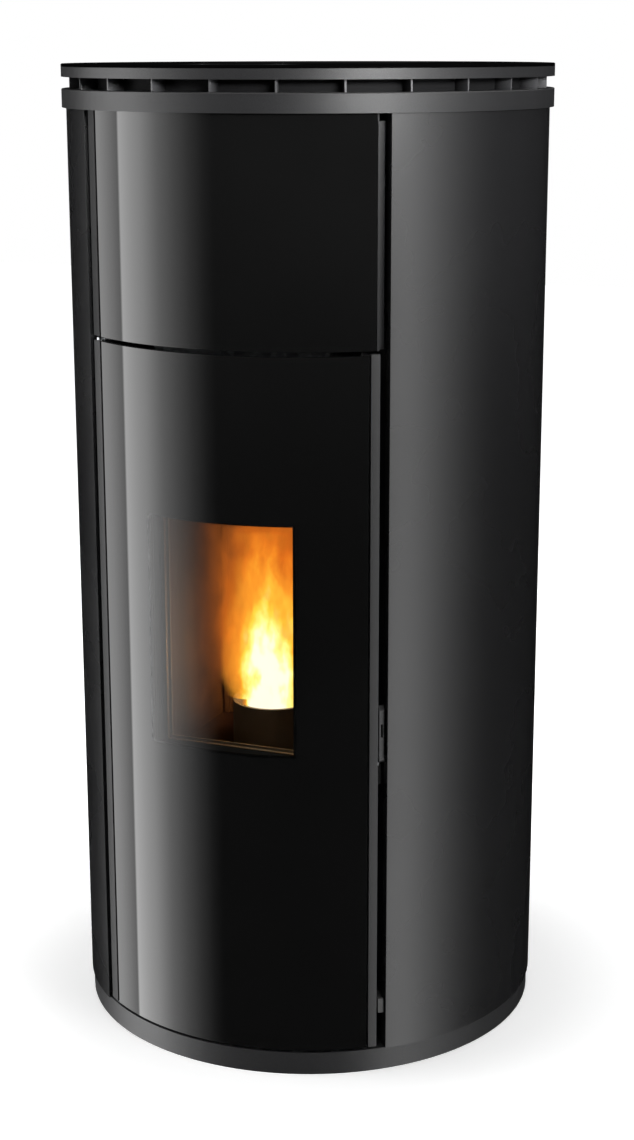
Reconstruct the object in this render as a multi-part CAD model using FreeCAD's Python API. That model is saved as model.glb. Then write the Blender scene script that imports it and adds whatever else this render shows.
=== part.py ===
import FreeCAD, Part
import math
import os

# Round water-heating pellet stove, front towards -Y, standing on z = 0, axis on the origin.
# Lengths are in millimetres. Angles ending in _deg are measured from the front, positive to the right.

V = FreeCAD.Vector

# General
overrun = 20.0
seat_gap = 0.2
pin_clearance = 0.05
slide_clearance = 0.3

# Outer skin
stove_height = 1183.0
panel_radius = 290.0
panel_sheet = 1.5
panel_front_deg = 40.1
panel_rear_deg = 146.0
panel_flange = 14.0
panel_rear_flange = 22.0
rear_sheet = 2.0
service_plate_height = 352.0

# Plinth, base plate and feet
plinth_height = 28.0
plinth_inset = 2.5
plinth_wall = 3.0
plinth_ledge = 16.0
base_sheet = 3.0
foot_count = 4
foot_inset = 59.5
foot_pad_radius = 18.0
foot_pad_height = 6.0
foot_neck_height = 4.0
foot_stud_radius = 5.0
foot_nut_radius = 9.5
foot_nut_height = 8.0

# Crown ring, vent and top plate
top_overhang = 5.0
top_sheet = 3.0
top_rim_height = 15.0
rim_wall = 2.5
rim_round = 1.2
vent_height = 13.7
vent_wall_inset = 31.0
vent_wall_sheet = 2.0
vent_fin_count = 24
vent_fin_thickness = 2.0
vent_fin_depth = 21.5
crown_height = 21.6
crown_sheet = 3.0
crown_ring_width = 47.0

# Front posts
post_sheet = 3.0
post_depth = 50.0
post_inner_deg = 36.0

# Front glass, shared by the door and the fixed upper panel
glass_recess = 3.0
glass_thickness = 4.0
glass_half_deg = 35.4
print_thickness = 0.4
frame_sheet = 1.5
stile_start_deg = 36.2
stile_end_deg = 39.3
stile_depth = 11.0

# Fixed upper panel
upper_glass_right_deg = 37.1
upper_glass_hidden = 8.0
upper_lip_start_deg = 37.2
upper_lip_end_deg = 37.7
upper_lip_drop = 9.0
upper_strip_start_deg = 38.5
upper_strip_end_deg = 39.6
upper_strip_recess = 15.0
upper_strip_depth = 9.0
upper_web_sheet = 2.0
upper_tab_height = 24.0
upper_tab_depth = 12.0

# Door
door_floor_gap = 3.0
door_height = 838.4
seam_gap = 5.6
door_strip_start_deg = 35.9
door_strip_end_deg = 37.95
door_strip_rise = 2.0
window_half_deg = 18.07
window_rise = 42.0
window_height = 272.0
frame_opening_margin = 26.0
frame_opening_deg = 21.5
hinge_pin_deg = 37.6
hinge_pin_radius = 2.5
hinge_pin_length = 16.0
hinge_plate = 3.0
hinge_gap = 0.8
hinge_plate_half_deg = 1.7
hinge_washer_radius = 9.0

# Inner fire door
leaf_inset = 42.0
leaf_thickness = 5.0
leaf_half_width = 128.0
leaf_margin = 62.0
leaf_top_share = 5 / 6
leaf_corner = 12.0
leaf_opening_half = 83.7
leaf_opening_rise = 6.5
leaf_boss_radius = 6.0
leaf_boss_inset = 12.0
leaf_boss_shares = (0.06, 0.5, 0.94)
fire_glass_thickness = 4.0
fire_glass_lap = 13.0
retainer_sheet = 1.5
retainer_width = 15.0
gasket_thickness = 9.0
gasket_lap = 9.0
gasket_corner = 22.0

# Latch on the right of the door
latch_pivot_inset = 12.0
latch_pivot_height = 396.0
latch_start_deg = 38.5
latch_end_deg = 39.8
latch_lever_height = 64.0
latch_lever_back = 3.0
latch_lever_front = 5.0
latch_boss_radius = 6.0
latch_arm_length = 24.0
latch_arm_height = 6.0
latch_nose_length = 4.0
latch_nose_drop = 8.0
latch_slot_width = 2.4
latch_slot_height = 16.0
latch_slot_rise = 26.0
latch_pin_radius = 2.5
latch_pin_overhang = 1.0
latch_bracket_sheet = 2.0
latch_bracket_height = 18.0
strike_sheet = 3.0
strike_clearance = 0.8
strike_swing_room = 2.4
strike_height = 30.0
strike_half_width = 12.0
rest_rise = 46.0
rest_height = 18.0
rest_inset = 4.0
rest_depth = 24.0
rest_width = 8.4
rest_groove = 1.8
rest_stem_depth = 8.0

# Firebox and ash drawer
fire_half_width = 108.0
fire_back_depth = 30.0
fire_wall = 4.0
ash_room_height = 72.0
fire_chamber_height = 344.0
front_plate_half_width = 136.0
front_plate_drop = 8.0
ash_floor_height = 286.0
ash_sill = 18.0
ash_opening_margin = 4.0
drawer_sheet = 1.5
drawer_clearance = 3.0
drawer_front_thickness = 4.0
drawer_front_lap = 8.0
drawer_grip_half = 40.0
drawer_grip_depth = 14.0
drawer_grip_height = 12.0
back_plate_thickness = 5.0
back_plate_rib = 4.0
back_plate_rib_width = 6.0
back_plate_rib_count = 9
back_plate_clearance = 2.0

# Burn pot and igniter
pot_depth = 120.0
pot_radius = 50.0
pot_wall = 4.0
pot_height = 58.0
pot_floor = 4.0
pot_seat_radius = 40.0
pot_spigot_height = 8.0
pot_grate_hole_radius = 4.0
pot_grate_circle = 22.0
pot_grate_count = 8
igniter_radius = 6.0
igniter_rise = 22.0
igniter_tail = 22.0
igniter_flange_radius = 14.0
igniter_flange = 3.0
igniter_pot_gap = 3.0

# Water jacket and smoke path
jacket_wall = 3.0
jacket_back = 10.0
jacket_roof_rise = 144.0
jacket_leg = 20.0
jacket_leg_inset = 25.0
jacket_leg_pitch = 105.0
smoke_tube_radius = 24.0
smoke_tube_wall = 3.0
smoke_tube_columns = 3
smoke_tube_rows = 2
smoke_tube_pitch_x = 70.0
smoke_tube_pitch_y = 80.0
smoke_tube_depth = 135.0
duct_wall = 2.0
hood_half_width = 110.0
hood_front_inset = 24.0
hood_back_depth = 20.0
hood_height = 35.0
duct_outer = 200.0
duct_width = 60.0
duct_front_depth = 75.0
duct_low_bottom = 170.0
duct_low_top = 260.0
duct_low_back = 150.0

# Exhaust fan, flue and combustion air
fan_back = 105.0
fan_height = 215.0
fan_radius = 68.0
fan_half_width = 26.0
fan_outlet_height = 58.0
fan_outlet_back = 196.0
fan_inlet_radius = 30.0
fan_shaft_radius = 4.0
fan_shaft_hole = 8.0
impeller_radius = 54.0
impeller_half_width = 15.0
impeller_disc = 3.0
impeller_hub_radius = 11.0
impeller_blade_count = 10
impeller_blade = 2.0
impeller_blade_lean_deg = 35.0
fan_motor_radius = 34.0
fan_motor_length = 60.0
fan_motor_flange = 4.0
fan_motor_flange_radius = 42.0
fan_motor_groove = 2.5
fan_motor_groove_count = 4
fan_shaft_length = 46.0
flue_radius = 40.0
flue_wall = 2.0
flue_stub = 49.6
flue_flange = 3.0
flue_flange_half = 44.0
air_pipe_radius = 25.0
air_pipe_wall = 1.5
air_pipe_side = 70.0
rear_hole_gap = 2.0
bead_height = 3.0
bead_length = 4.0
bead_gap = 2.0

# Hopper, lid and pellet feed
hopper_sheet = 1.5
hopper_half_width = 140.0
hopper_front_depth = 60.0
hopper_rear_gap = 38.4
hopper_slope_share = 0.654
hopper_outlet_height = 700.0
hopper_outlet_half = 26.0
hopper_outlet_inset = 38.0
hopper_outlet_depth = 54.0
hopper_lip = 10.0
hopper_lip_sheet = 2.0
hopper_ledge = 32.0
hopper_rim_drop = 6.0
lid_half_width = 128.0
lid_front_depth = 50.0
lid_axis_inset = 12.0
lid_axis_drop = 2.0
lid_gap = 2.0
lid_rear_gap = 6.0
lid_ear_radius = 3.6
lid_ear_length = 20.0
lid_ear_inset = 22.0
lid_pin_radius = 1.8
lid_pin_length = 16.0
lid_bracket = 4.0
lid_bracket_clearance = 0.1
lid_notch_radius = 16.0
lid_notch_depth = 8.0
lid_seal_inset = 8.0
lid_seal_width = 6.0
auger_neck_height = 40.0
auger_tube_radius = 30.0
auger_tube_wall = 2.0
auger_tube_length = 125.0
auger_tube_overhang = 3.0
auger_end_plate = 3.0
auger_neck_wall = 2.0
auger_drop_inset = 4.0
auger_drop_length = 48.0
auger_screw_radius = 26.0
auger_shaft_radius = 7.0
auger_flight = 3.0
auger_pitch = 38.0
auger_turns = 3
auger_shaft_in_gear = 26.0
gearbox_half = 32.0
gearbox_length = 40.0
gear_motor_radius = 24.0
gear_motor_length = 24.0
chute_radius = 25.0
chute_wall = 2.0
chute_slope_deg = 50.0
chute_top_inset = 28.0
chute_reach = 8.0
chute_top_drop = 4.0
chute_collar_share = 2 / 3

# Heating water side
pump_side = 115.0
pump_back = 150.0
pump_height = 95.0
pump_volute_radius = 42.0
pump_volute_half = 25.0
pump_motor_radius = 38.0
pump_motor_length = 55.0
pump_foot = 10.0
water_pipe_radius = 11.0
water_pipe_wall = 1.5
water_bend = 32.0
return_back = 172.0
return_height = 322.0
flow_side = 80.0
flow_top = 780.0
flow_inset = 32.0
flow_bottom = 60.0
water_stub = 47.6
vessel_radius = 95.0
vessel_thickness = 70.0
vessel_round = 24.0
vessel_back = 20.0
vessel_height = 560.0
vessel_stub_radius = 14.0
vessel_stub_length = 8.0

# Controls
bezel_half_width = 62.0
bezel_inset = 63.0
bezel_width = 64.0
bezel_gap = 0.5
bezel_lip = 5.0
bezel_depth = 16.0
display_half_width = 30.0
display_half_depth = 18.0
display_thickness = 1.5
button_radius = 5.5
button_flange = 1.2
button_flange_height = 2.0
button_travel = 1.0
button_cap = 8.0
button_side = 46.0
button_pitch = 22.0
board_side = 78.0
board_half_width = 55.0
board_bottom = 400.0
board_height = 160.0
board_sheet = 1.6
board_stand = 9.0
board_stand_radius = 3.0
board_stand_inset = 8.0
board_part_height = 18.0
board_part_shares = (
    (0.25, 0.75, 0.30, 0.25),
    (0.75, 0.75, 0.25, 0.30),
    (0.30, 0.30, 0.35, 0.30),
    (0.75, 0.25, 0.20, 0.20),
)
inlet_side = 92.0
inlet_height = 84.0
inlet_half_width = 32.0
inlet_half_height = 16.0
inlet_depth = 26.0
inlet_flange = 2.5
inlet_lip = 4.0
inlet_socket_half_width = 12.0
inlet_socket_half_height = 9.0
inlet_socket_depth = 16.0
inlet_socket_offset = 15.0
inlet_blade = 2.0
inlet_blade_pitch = 7.0
switch_half_width = 6.5
switch_half_height = 10.5
switch_offset = 16.0
switch_depth = 8.0
switch_inner_share = 1 / 3
switch_proud = 1.5
switch_pin_radius = 1.5
switch_room = 1.2

# Rear panel openings and screws
louvre_columns = 2
louvre_rows = 9
louvre_half_width = 36.0
louvre_height = 5.0
louvre_pitch = 15.0
louvre_column_side = 72.0
louvre_bottom = 860.0
screw_rows = 6
screw_radius = 4.0
screw_head = 2.0
screw_inset = 9.0
screw_margin = 40.0

# Lower front cover
cover_inset = 68.0
cover_half_width = 148.0
cover_sheet = 1.5
cover_top_gap = 6.0

# Levels and radii that follow from the sizes above
plinth_radius = panel_radius - plinth_inset
cover_depth = panel_radius - cover_inset
base_radius = plinth_radius - plinth_wall
ledge_top = plinth_height - base_sheet
top_radius = panel_radius + top_overhang
vent_wall_radius = top_radius - vent_wall_inset
vent_fin_radius = vent_wall_radius + vent_fin_depth
crown_inner_radius = top_radius - crown_ring_width
bezel_front_depth = top_radius - bezel_inset
bezel_back_depth = bezel_front_depth - bezel_width
rim_bottom = stove_height - top_rim_height
top_under = stove_height - top_sheet
crown_top = rim_bottom - vent_height
crown_bottom = crown_top - crown_height
crown_under = crown_top - crown_sheet
panel_inner_radius = panel_radius - panel_sheet
flange_radius = panel_radius - panel_flange
post_radius = panel_radius - post_depth
flange_deg = math.degrees(panel_sheet / flange_radius)
post_start_deg = panel_front_deg + flange_deg
post_end_deg = post_start_deg + math.degrees(post_sheet / flange_radius)
rear_face = -panel_radius * math.cos(math.radians(panel_rear_deg))
rear_inner = rear_face - rear_sheet
service_plate_top = plinth_height + service_plate_height
flue_end = rear_face + flue_stub
water_end = rear_face + water_stub
flow_back = rear_inner - flow_inset
rear_half_width = math.sqrt(panel_inner_radius ** 2 - rear_face ** 2) - panel_sheet
glass_radius = panel_radius - glass_recess
glass_inner = glass_radius - glass_thickness
print_outer = glass_inner - seat_gap
print_inner = print_outer - print_thickness
frame_outer = print_inner - seat_gap
frame_inner = frame_outer - frame_sheet
stile_inner = glass_radius - stile_depth
door_bottom = plinth_height + door_floor_gap
door_top = door_bottom + door_height
upper_bottom = door_top + seam_gap
upper_top = crown_bottom + upper_glass_hidden
hinge_radius = glass_radius - stile_depth / 2
latch_pivot_radius = panel_radius - latch_pivot_inset
leaf_front_depth = panel_radius - leaf_inset
leaf_back_depth = leaf_front_depth - leaf_thickness
fire_floor_height = ash_floor_height + ash_room_height + fire_wall
fire_roof_height = fire_floor_height + fire_chamber_height
window_bottom = fire_floor_height + window_rise
window_top = window_bottom + window_height
leaf_bottom = window_bottom - leaf_margin
leaf_top = window_top + leaf_margin * leaf_top_share
leaf_opening_bottom = window_bottom - leaf_opening_rise
leaf_opening_top = window_top + leaf_opening_rise
igniter_height = fire_floor_height + igniter_rise
plate_front_depth = leaf_back_depth - gasket_thickness
plate_back_depth = plate_front_depth - fire_wall
hood_front_depth = plate_front_depth - hood_front_inset
jacket_half_width = front_plate_half_width
jacket_bottom = ash_floor_height - fire_wall
jacket_top = fire_roof_height + jacket_roof_rise
hood_bottom = jacket_top
duct_inner = duct_outer - duct_width
fan_outlet_bottom = fan_height - fan_radius
flue_height = fan_outlet_bottom + fan_outlet_height / 2
hopper_ledge_top = top_under - hopper_rim_drop
hopper_slope_height = hopper_outlet_height + (hopper_ledge_top - hopper_outlet_height) * hopper_slope_share
lid_axis_height = top_under - lid_axis_drop
hopper_back = rear_inner - hopper_rear_gap
lid_axis_back = hopper_back - lid_axis_inset
hopper_outlet_back = hopper_back - hopper_outlet_inset
hopper_outlet_front = hopper_outlet_back - hopper_outlet_depth
auger_height = hopper_outlet_height - auger_neck_height
auger_tube_back = hopper_outlet_back + auger_tube_overhang
auger_tube_front = auger_tube_back - auger_tube_length
auger_drop_front = auger_tube_front + auger_drop_inset
auger_drop_back = auger_drop_front + auger_drop_length
chute_top_back = auger_tube_front + chute_top_inset
pot_bottom = fire_floor_height + seat_gap
pot_rim = pot_bottom + pot_height
air_pipe_height = (ash_floor_height + fire_floor_height - fire_wall) / 2


def polar(radius, angle_deg, z):
    """Point at a radius and an angle from the front."""
    angle = math.radians(angle_deg)
    return V(radius * math.sin(angle), -radius * math.cos(angle), z)


def outward(angle_deg):
    """Unit vector pointing out of the stove at an angle from the front."""
    return polar(1, angle_deg, 0)


def rightward(angle_deg):
    """Unit vector along the skin, towards larger angles."""
    angle = math.radians(angle_deg)
    return V(math.cos(angle), math.sin(angle), 0)


def block(x0, x1, y0, y1, z0, z1):
    """Box between two corners."""
    return Part.makeBox(x1 - x0, y1 - y0, z1 - z0, V(x0, y0, z0))


def rod(radius, start, end):
    """Round bar between two points."""
    return Part.makeCylinder(radius, (end - start).Length, start, end - start)


def ring(inner, outer, z0, z1):
    """Round ring about the stove's axis."""
    hollow = Part.makeCylinder(inner, z1 - z0 + 2 * overrun, V(0, 0, z0 - overrun))
    return Part.makeCylinder(outer, z1 - z0, V(0, 0, z0)).cut(hollow)


def curved_slab(inner, outer, start_deg, end_deg, z0, z1):
    """Piece of a round wall between two angles and two heights."""
    middle_deg = (start_deg + end_deg) / 2
    outer_arc = Part.Arc(polar(outer, start_deg, z0), polar(outer, middle_deg, z0),
                         polar(outer, end_deg, z0))
    inner_arc = Part.Arc(polar(inner, end_deg, z0), polar(inner, middle_deg, z0),
                         polar(inner, start_deg, z0))
    closing = Part.makeLine(polar(outer, end_deg, z0), polar(inner, end_deg, z0))
    opening = Part.makeLine(polar(inner, start_deg, z0), polar(outer, start_deg, z0))
    outline = Part.Wire([outer_arc.toShape(), closing, inner_arc.toShape(), opening])
    return Part.Face(outline).extrude(V(0, 0, z1 - z0))


def rounded_plate(half_width, y0, y1, z0, z1, corner):
    """Upright plate facing the front with round corners."""
    plate = block(-half_width, half_width, y0, y1, z0, z1)
    edges = [e for e in plate.Edges if abs(e.Vertexes[0].Y - e.Vertexes[1].Y) > seat_gap]
    return plate.makeFillet(corner, edges)


def rectangle(half_width, y0, y1, z):
    """Level rectangle as a wire."""
    corners = [V(-half_width, y0, z), V(half_width, y0, z), V(half_width, y1, z), V(-half_width, y1, z)]
    return Part.makePolygon(corners + corners[:1])


def swept(path, radius):
    """Solid round bar along a wire of straight runs and arcs."""
    first = path.OrderedEdges[0]
    start = first.valueAt(first.FirstParameter)
    tangent = first.tangentAt(first.FirstParameter)
    section = Part.Wire([Part.Circle(start, tangent, radius).toShape()])
    return path.makePipeShell([section], True, False)


def bent_path(points, bend):
    """Wire through points with each corner rounded to one radius."""
    edges = []
    last = points[0]
    for before, corner, after in zip(points, points[1:], points[2:]):
        back = (before - corner).normalize()
        on = (after - corner).normalize()
        half_turn = back.getAngle(on) / 2
        enter = corner + back * (bend / math.tan(half_turn))
        leave = corner + on * (bend / math.tan(half_turn))
        inward = (back + on).normalize()
        middle = corner + inward * (bend / math.sin(half_turn) - bend)
        edges.append(Part.makeLine(last, enter))
        edges.append(Part.Arc(enter, middle, leave).toShape())
        last = leave
    edges.append(Part.makeLine(last, points[-1]))
    return Part.Wire(edges)


def bent_pipe(points, bend, radius, wall, collars=()):
    """Pipe with round bends and any collars on it."""
    path = bent_path(points, bend)
    pipe = swept(path, radius)
    for collar in collars:
        pipe = pipe.fuse(collar)
    return pipe.removeSplitter().cut(swept(path, radius - wall))


def mirrored(shape):
    """Copy on the other side of the stove's middle plane."""
    return shape.mirror(V(0, 0, 0), V(1, 0, 0))


def plinth_ring():
    wall = ring(base_radius, plinth_radius, 0, plinth_height)
    ledge = ring(base_radius - plinth_ledge, base_radius, ledge_top - plinth_wall, ledge_top)
    return wall.fuse(ledge).removeSplitter()


def foot_places():
    step_deg = 360 / foot_count
    return [polar(base_radius - foot_inset, step_deg * (i + 0.5), 0) for i in range(foot_count)]


def base_plate():
    """Floor of the stove with a welded nut over each foot."""
    plate = Part.makeCylinder(base_radius - seat_gap, base_sheet, V(0, 0, ledge_top))
    for place in foot_places():
        nut = Part.makeCylinder(foot_nut_radius, foot_nut_height, place + V(0, 0, plinth_height))
        plate = plate.fuse(nut)
    for place in foot_places():
        hole = Part.makeCylinder(foot_stud_radius + slide_clearance, plinth_height + overrun, place)
        plate = plate.cut(hole)
    return plate.removeSplitter()


def levelling_feet():
    feet = []
    for place in foot_places():
        pad = Part.makeCylinder(foot_pad_radius, foot_pad_height, place)
        neck_base = place + V(0, 0, foot_pad_height)
        neck = Part.makeCone(foot_pad_radius, foot_stud_radius, foot_neck_height, neck_base)
        stud = Part.makeCylinder(foot_stud_radius, plinth_height + foot_nut_height, place)
        feet.append(pad.fuse(neck).fuse(stud).removeSplitter())
    return Part.makeCompound(feet)


def front_posts():
    """Folded uprights behind the front edges of the two side panels."""
    outer = panel_inner_radius - seat_gap
    radial = curved_slab(post_radius, outer, post_start_deg, post_end_deg, plinth_height, crown_under)
    across = curved_slab(post_radius, post_radius + post_sheet, post_inner_deg, post_end_deg,
                         plinth_height, crown_under)
    post = radial.fuse(across).removeSplitter()
    return Part.makeCompound([post, mirrored(post)])


def right_side_panel():
    """Rolled side with a folded front edge and a flat rear flange."""
    skin = curved_slab(panel_inner_radius, panel_radius, panel_front_deg, panel_rear_deg,
                       plinth_height, crown_under)
    fold = curved_slab(flange_radius, panel_radius, panel_front_deg, post_start_deg,
                       plinth_height, crown_under)
    lip = block(rear_half_width - panel_rear_flange, panel_radius, rear_inner - panel_sheet, rear_inner,
                plinth_height, crown_under)
    lip = lip.common(Part.makeCylinder(panel_radius - panel_sheet / 2, stove_height))
    return skin.fuse(fold).fuse(lip).removeSplitter()


def rear_holes():
    """Cutters for every pipe and fitting that passes the service plate."""
    through_front = rear_inner - overrun
    through_back = rear_face + overrun
    places = [
        (0, flue_height, flue_radius),
        (air_pipe_side, air_pipe_height, air_pipe_radius),
        (-flow_side, flow_bottom, water_pipe_radius),
        (-pump_side, pump_height, water_pipe_radius),
    ]
    cutters = []
    for x, z, radius in places:
        cutters.append(rod(radius + rear_hole_gap, V(x, through_front, z), V(x, through_back, z)))
    half_width = inlet_half_width + seat_gap
    half_height = inlet_half_height + seat_gap
    cutters.append(block(inlet_side - half_width, inlet_side + half_width, through_front, through_back,
                         inlet_height - half_height, inlet_height + half_height))
    return cutters


def service_plate():
    """Lower part of the back, with the holes for pipes and the mains inlet."""
    plate = block(-rear_half_width, rear_half_width, rear_inner, rear_face,
                  plinth_height, service_plate_top)
    return plate.cut(Part.makeCompound(rear_holes()))


def rear_panel():
    """Upper part of the back, with louvre slots."""
    panel = block(-rear_half_width, rear_half_width, rear_inner, rear_face,
                  service_plate_top + seat_gap, crown_under)
    cutters = []
    for column in range(louvre_columns):
        x = louvre_column_side * (2 * column / (louvre_columns - 1) - 1)
        for row in range(louvre_rows):
            z = louvre_bottom + row * louvre_pitch
            cutters.append(block(x - louvre_half_width, x + louvre_half_width,
                                 rear_inner - overrun, rear_face + overrun, z, z + louvre_height))
    return panel.cut(Part.makeCompound(cutters))


def rear_screws():
    """Screw heads along both edges of the back."""
    heads = []
    span = crown_under - plinth_height - 2 * screw_margin
    for side in (-1, 1):
        x = side * (rear_half_width - screw_inset)
        for row in range(screw_rows):
            z = plinth_height + screw_margin + span * row / (screw_rows - 1)
            heads.append(rod(screw_radius, V(x, rear_face, z), V(x, rear_face + screw_head, z)))
    return Part.makeCompound(heads)


def rounded_rim(shape, height):
    """Rounds the outer edge of a round piece at one height."""
    def is_rim(edge):
        flat = abs(edge.BoundBox.ZMax - height) < seat_gap and edge.BoundBox.ZLength < seat_gap
        return flat and abs(edge.BoundBox.XMax - top_radius) < seat_gap
    return shape.makeFillet(rim_round, [e for e in shape.Edges if is_rim(e)])


def crown_ring():
    """Flat ring on the panels with a skirt that hides their top edges."""
    flat = ring(crown_inner_radius, top_radius, crown_under, crown_top)
    skirt = ring(top_radius - rim_wall, top_radius, crown_bottom, crown_top)
    return rounded_rim(flat.fuse(skirt).removeSplitter(), crown_top)


def vent_grille():
    """Inner wall of the warm air outlet with radial fins that carry the top plate."""
    grille = ring(vent_wall_radius - vent_wall_sheet, vent_wall_radius, crown_top, top_under)
    fins = []
    for i in range(vent_fin_count):
        fin = block(-vent_fin_thickness / 2, vent_fin_thickness / 2, -vent_fin_radius,
                    -(vent_wall_radius - vent_wall_sheet / 2), crown_top, top_under)
        fin.rotate(V(0, 0, 0), V(0, 0, 1), 360 * i / vent_fin_count)
        fins.append(fin)
    return grille.fuse(fins).removeSplitter()


def top_plate():
    """Round lid plate with a turned down rim, a hopper opening and a control opening."""
    flat = Part.makeCylinder(top_radius, top_sheet, V(0, 0, top_under))
    rim = ring(top_radius - rim_wall, top_radius, rim_bottom, stove_height)
    plate = rounded_rim(flat.fuse(rim).removeSplitter(), stove_height)
    below = top_under - overrun
    above = stove_height + overrun
    hopper_cut = block(-lid_half_width - lid_gap, lid_half_width + lid_gap,
                       -lid_front_depth - lid_gap, lid_axis_back + lid_rear_gap, below, above)
    control_cut = block(-bezel_half_width - bezel_gap, bezel_half_width + bezel_gap,
                        -bezel_front_depth - bezel_gap, -bezel_back_depth + bezel_gap, below, above)
    return plate.cut(hopper_cut).cut(control_cut)


def upper_glass():
    return curved_slab(glass_inner, glass_radius, -glass_half_deg, upper_glass_right_deg,
                       upper_bottom, upper_top)


def upper_frame():
    """Backing sheet of the fixed glass with its edge strips and the tabs to the posts."""
    lip_top = crown_bottom - upper_lip_drop
    strip_outer = panel_radius - upper_strip_recess
    strip_inner = strip_outer - upper_strip_depth
    web_end_deg = glass_half_deg + math.degrees(upper_web_sheet / strip_inner)
    pieces = [
        curved_slab(frame_inner, frame_outer, -stile_start_deg, upper_lip_end_deg, upper_bottom, upper_top),
        curved_slab(stile_inner, glass_radius, -stile_end_deg, -stile_start_deg, upper_bottom, upper_top),
        curved_slab(frame_inner, glass_radius, upper_lip_start_deg, upper_lip_end_deg,
                    upper_bottom, lip_top),
        curved_slab(strip_inner, strip_outer, upper_strip_start_deg, upper_strip_end_deg,
                    upper_bottom, lip_top),
        curved_slab(strip_inner, strip_inner + upper_web_sheet, glass_half_deg, upper_strip_end_deg,
                    upper_bottom, lip_top),
        curved_slab(strip_inner, frame_outer, glass_half_deg, web_end_deg, upper_bottom, lip_top),
    ]
    for z in (upper_bottom, lip_top - upper_tab_height):
        tab_top = z + upper_tab_height
        pieces.append(curved_slab(strip_inner - upper_tab_depth, strip_inner + upper_web_sheet,
                                  upper_strip_start_deg, post_start_deg, z, tab_top))
        pieces.append(curved_slab(stile_inner - upper_tab_depth, stile_inner + upper_web_sheet,
                                  -stile_end_deg, -stile_start_deg, z, tab_top))
        pieces.append(curved_slab(stile_inner - upper_tab_depth, stile_inner - slide_clearance,
                                  -post_start_deg, -stile_start_deg, z, tab_top))
    return pieces[0].fuse(pieces[1:]).removeSplitter()


def door_glass():
    return curved_slab(glass_inner, glass_radius, -glass_half_deg, glass_half_deg, door_bottom, door_top)


def door_print():
    """Black print on the back of the door glass, left open at the window."""
    layer = curved_slab(print_inner, print_outer, -glass_half_deg, glass_half_deg, door_bottom, door_top)
    window = curved_slab(print_inner - overrun, print_outer + overrun, -window_half_deg, window_half_deg,
                         window_bottom, window_top)
    return layer.cut(window)


def door_frame():
    """Curved sheet behind the glass with the hinge stile on the left and a strip on the right."""
    sheet = curved_slab(frame_inner, frame_outer, -stile_start_deg, door_strip_end_deg,
                        door_bottom, door_top)
    opening = curved_slab(frame_inner - overrun, frame_outer + overrun,
                          -frame_opening_deg, frame_opening_deg,
                          window_bottom - frame_opening_margin, window_top + frame_opening_margin)
    stile = curved_slab(stile_inner, glass_radius, -stile_end_deg, -stile_start_deg, door_bottom, door_top)
    strip = curved_slab(frame_inner, glass_radius, door_strip_start_deg, door_strip_end_deg,
                        door_bottom, door_top + door_strip_rise)
    frame = sheet.cut(opening).fuse([stile, strip]).removeSplitter()
    bore = hinge_pin_radius + pin_clearance
    depth = hinge_pin_length
    low = rod(bore, polar(hinge_radius, -hinge_pin_deg, door_bottom - overrun),
              polar(hinge_radius, -hinge_pin_deg, door_bottom + depth))
    high = rod(bore, polar(hinge_radius, -hinge_pin_deg, door_top - depth),
               polar(hinge_radius, -hinge_pin_deg, door_top + overrun))
    return frame.cut(low).cut(high)


def lower_hinge():
    """Bottom hinge: a washer on the base and the pin that the door turns on."""
    foot = polar(hinge_radius, -hinge_pin_deg, plinth_height)
    washer = rod(hinge_washer_radius, foot, foot + V(0, 0, door_floor_gap - hinge_gap))
    pin = rod(hinge_pin_radius, foot, foot + V(0, 0, door_floor_gap + hinge_pin_length - hinge_gap))
    clear = Part.makeCylinder(base_radius, stove_height)
    return washer.common(clear).fuse(pin).removeSplitter()


def upper_hinge():
    """Top hinge: a plate from the left post with a pin down into the stile."""
    z = door_top + hinge_gap
    plate = curved_slab(post_radius + post_sheet + seat_gap, hinge_radius,
                        -hinge_pin_deg - hinge_plate_half_deg, -hinge_pin_deg + hinge_plate_half_deg,
                        z, z + hinge_plate)
    eye_foot = polar(hinge_radius, -hinge_pin_deg, z)
    eye = rod(stile_depth / 2, eye_foot, eye_foot + V(0, 0, hinge_plate))
    pin = rod(hinge_pin_radius, eye_foot - V(0, 0, hinge_pin_length), eye_foot + V(0, 0, hinge_plate))
    return plate.fuse([eye, pin]).removeSplitter()


def fire_door_leaf():
    """Cast plate with the fire window and bosses that carry it on the curved frame."""
    leaf = rounded_plate(leaf_half_width, -leaf_front_depth, -leaf_back_depth,
                         leaf_bottom, leaf_top, leaf_corner)
    bosses = []
    for side in (-1, 1):
        for share in leaf_boss_shares:
            place = V(side * (leaf_half_width - leaf_boss_inset), -leaf_back_depth,
                      leaf_bottom + (leaf_top - leaf_bottom) * share)
            bosses.append(rod(leaf_boss_radius, place, V(place.x, -panel_radius, place.z)))
    seat = Part.makeCylinder(frame_inner - seat_gap, stove_height)
    leaf = leaf.fuse([boss.common(seat) for boss in bosses])
    opening = block(-leaf_opening_half, leaf_opening_half, -panel_radius, 0,
                    leaf_opening_bottom, leaf_opening_top)
    return leaf.cut(opening).removeSplitter()


def fire_glass():
    half = leaf_opening_half + fire_glass_lap
    return block(-half, half, -leaf_back_depth, -leaf_back_depth + fire_glass_thickness,
                 leaf_opening_bottom - fire_glass_lap, leaf_opening_top + fire_glass_lap)


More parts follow.
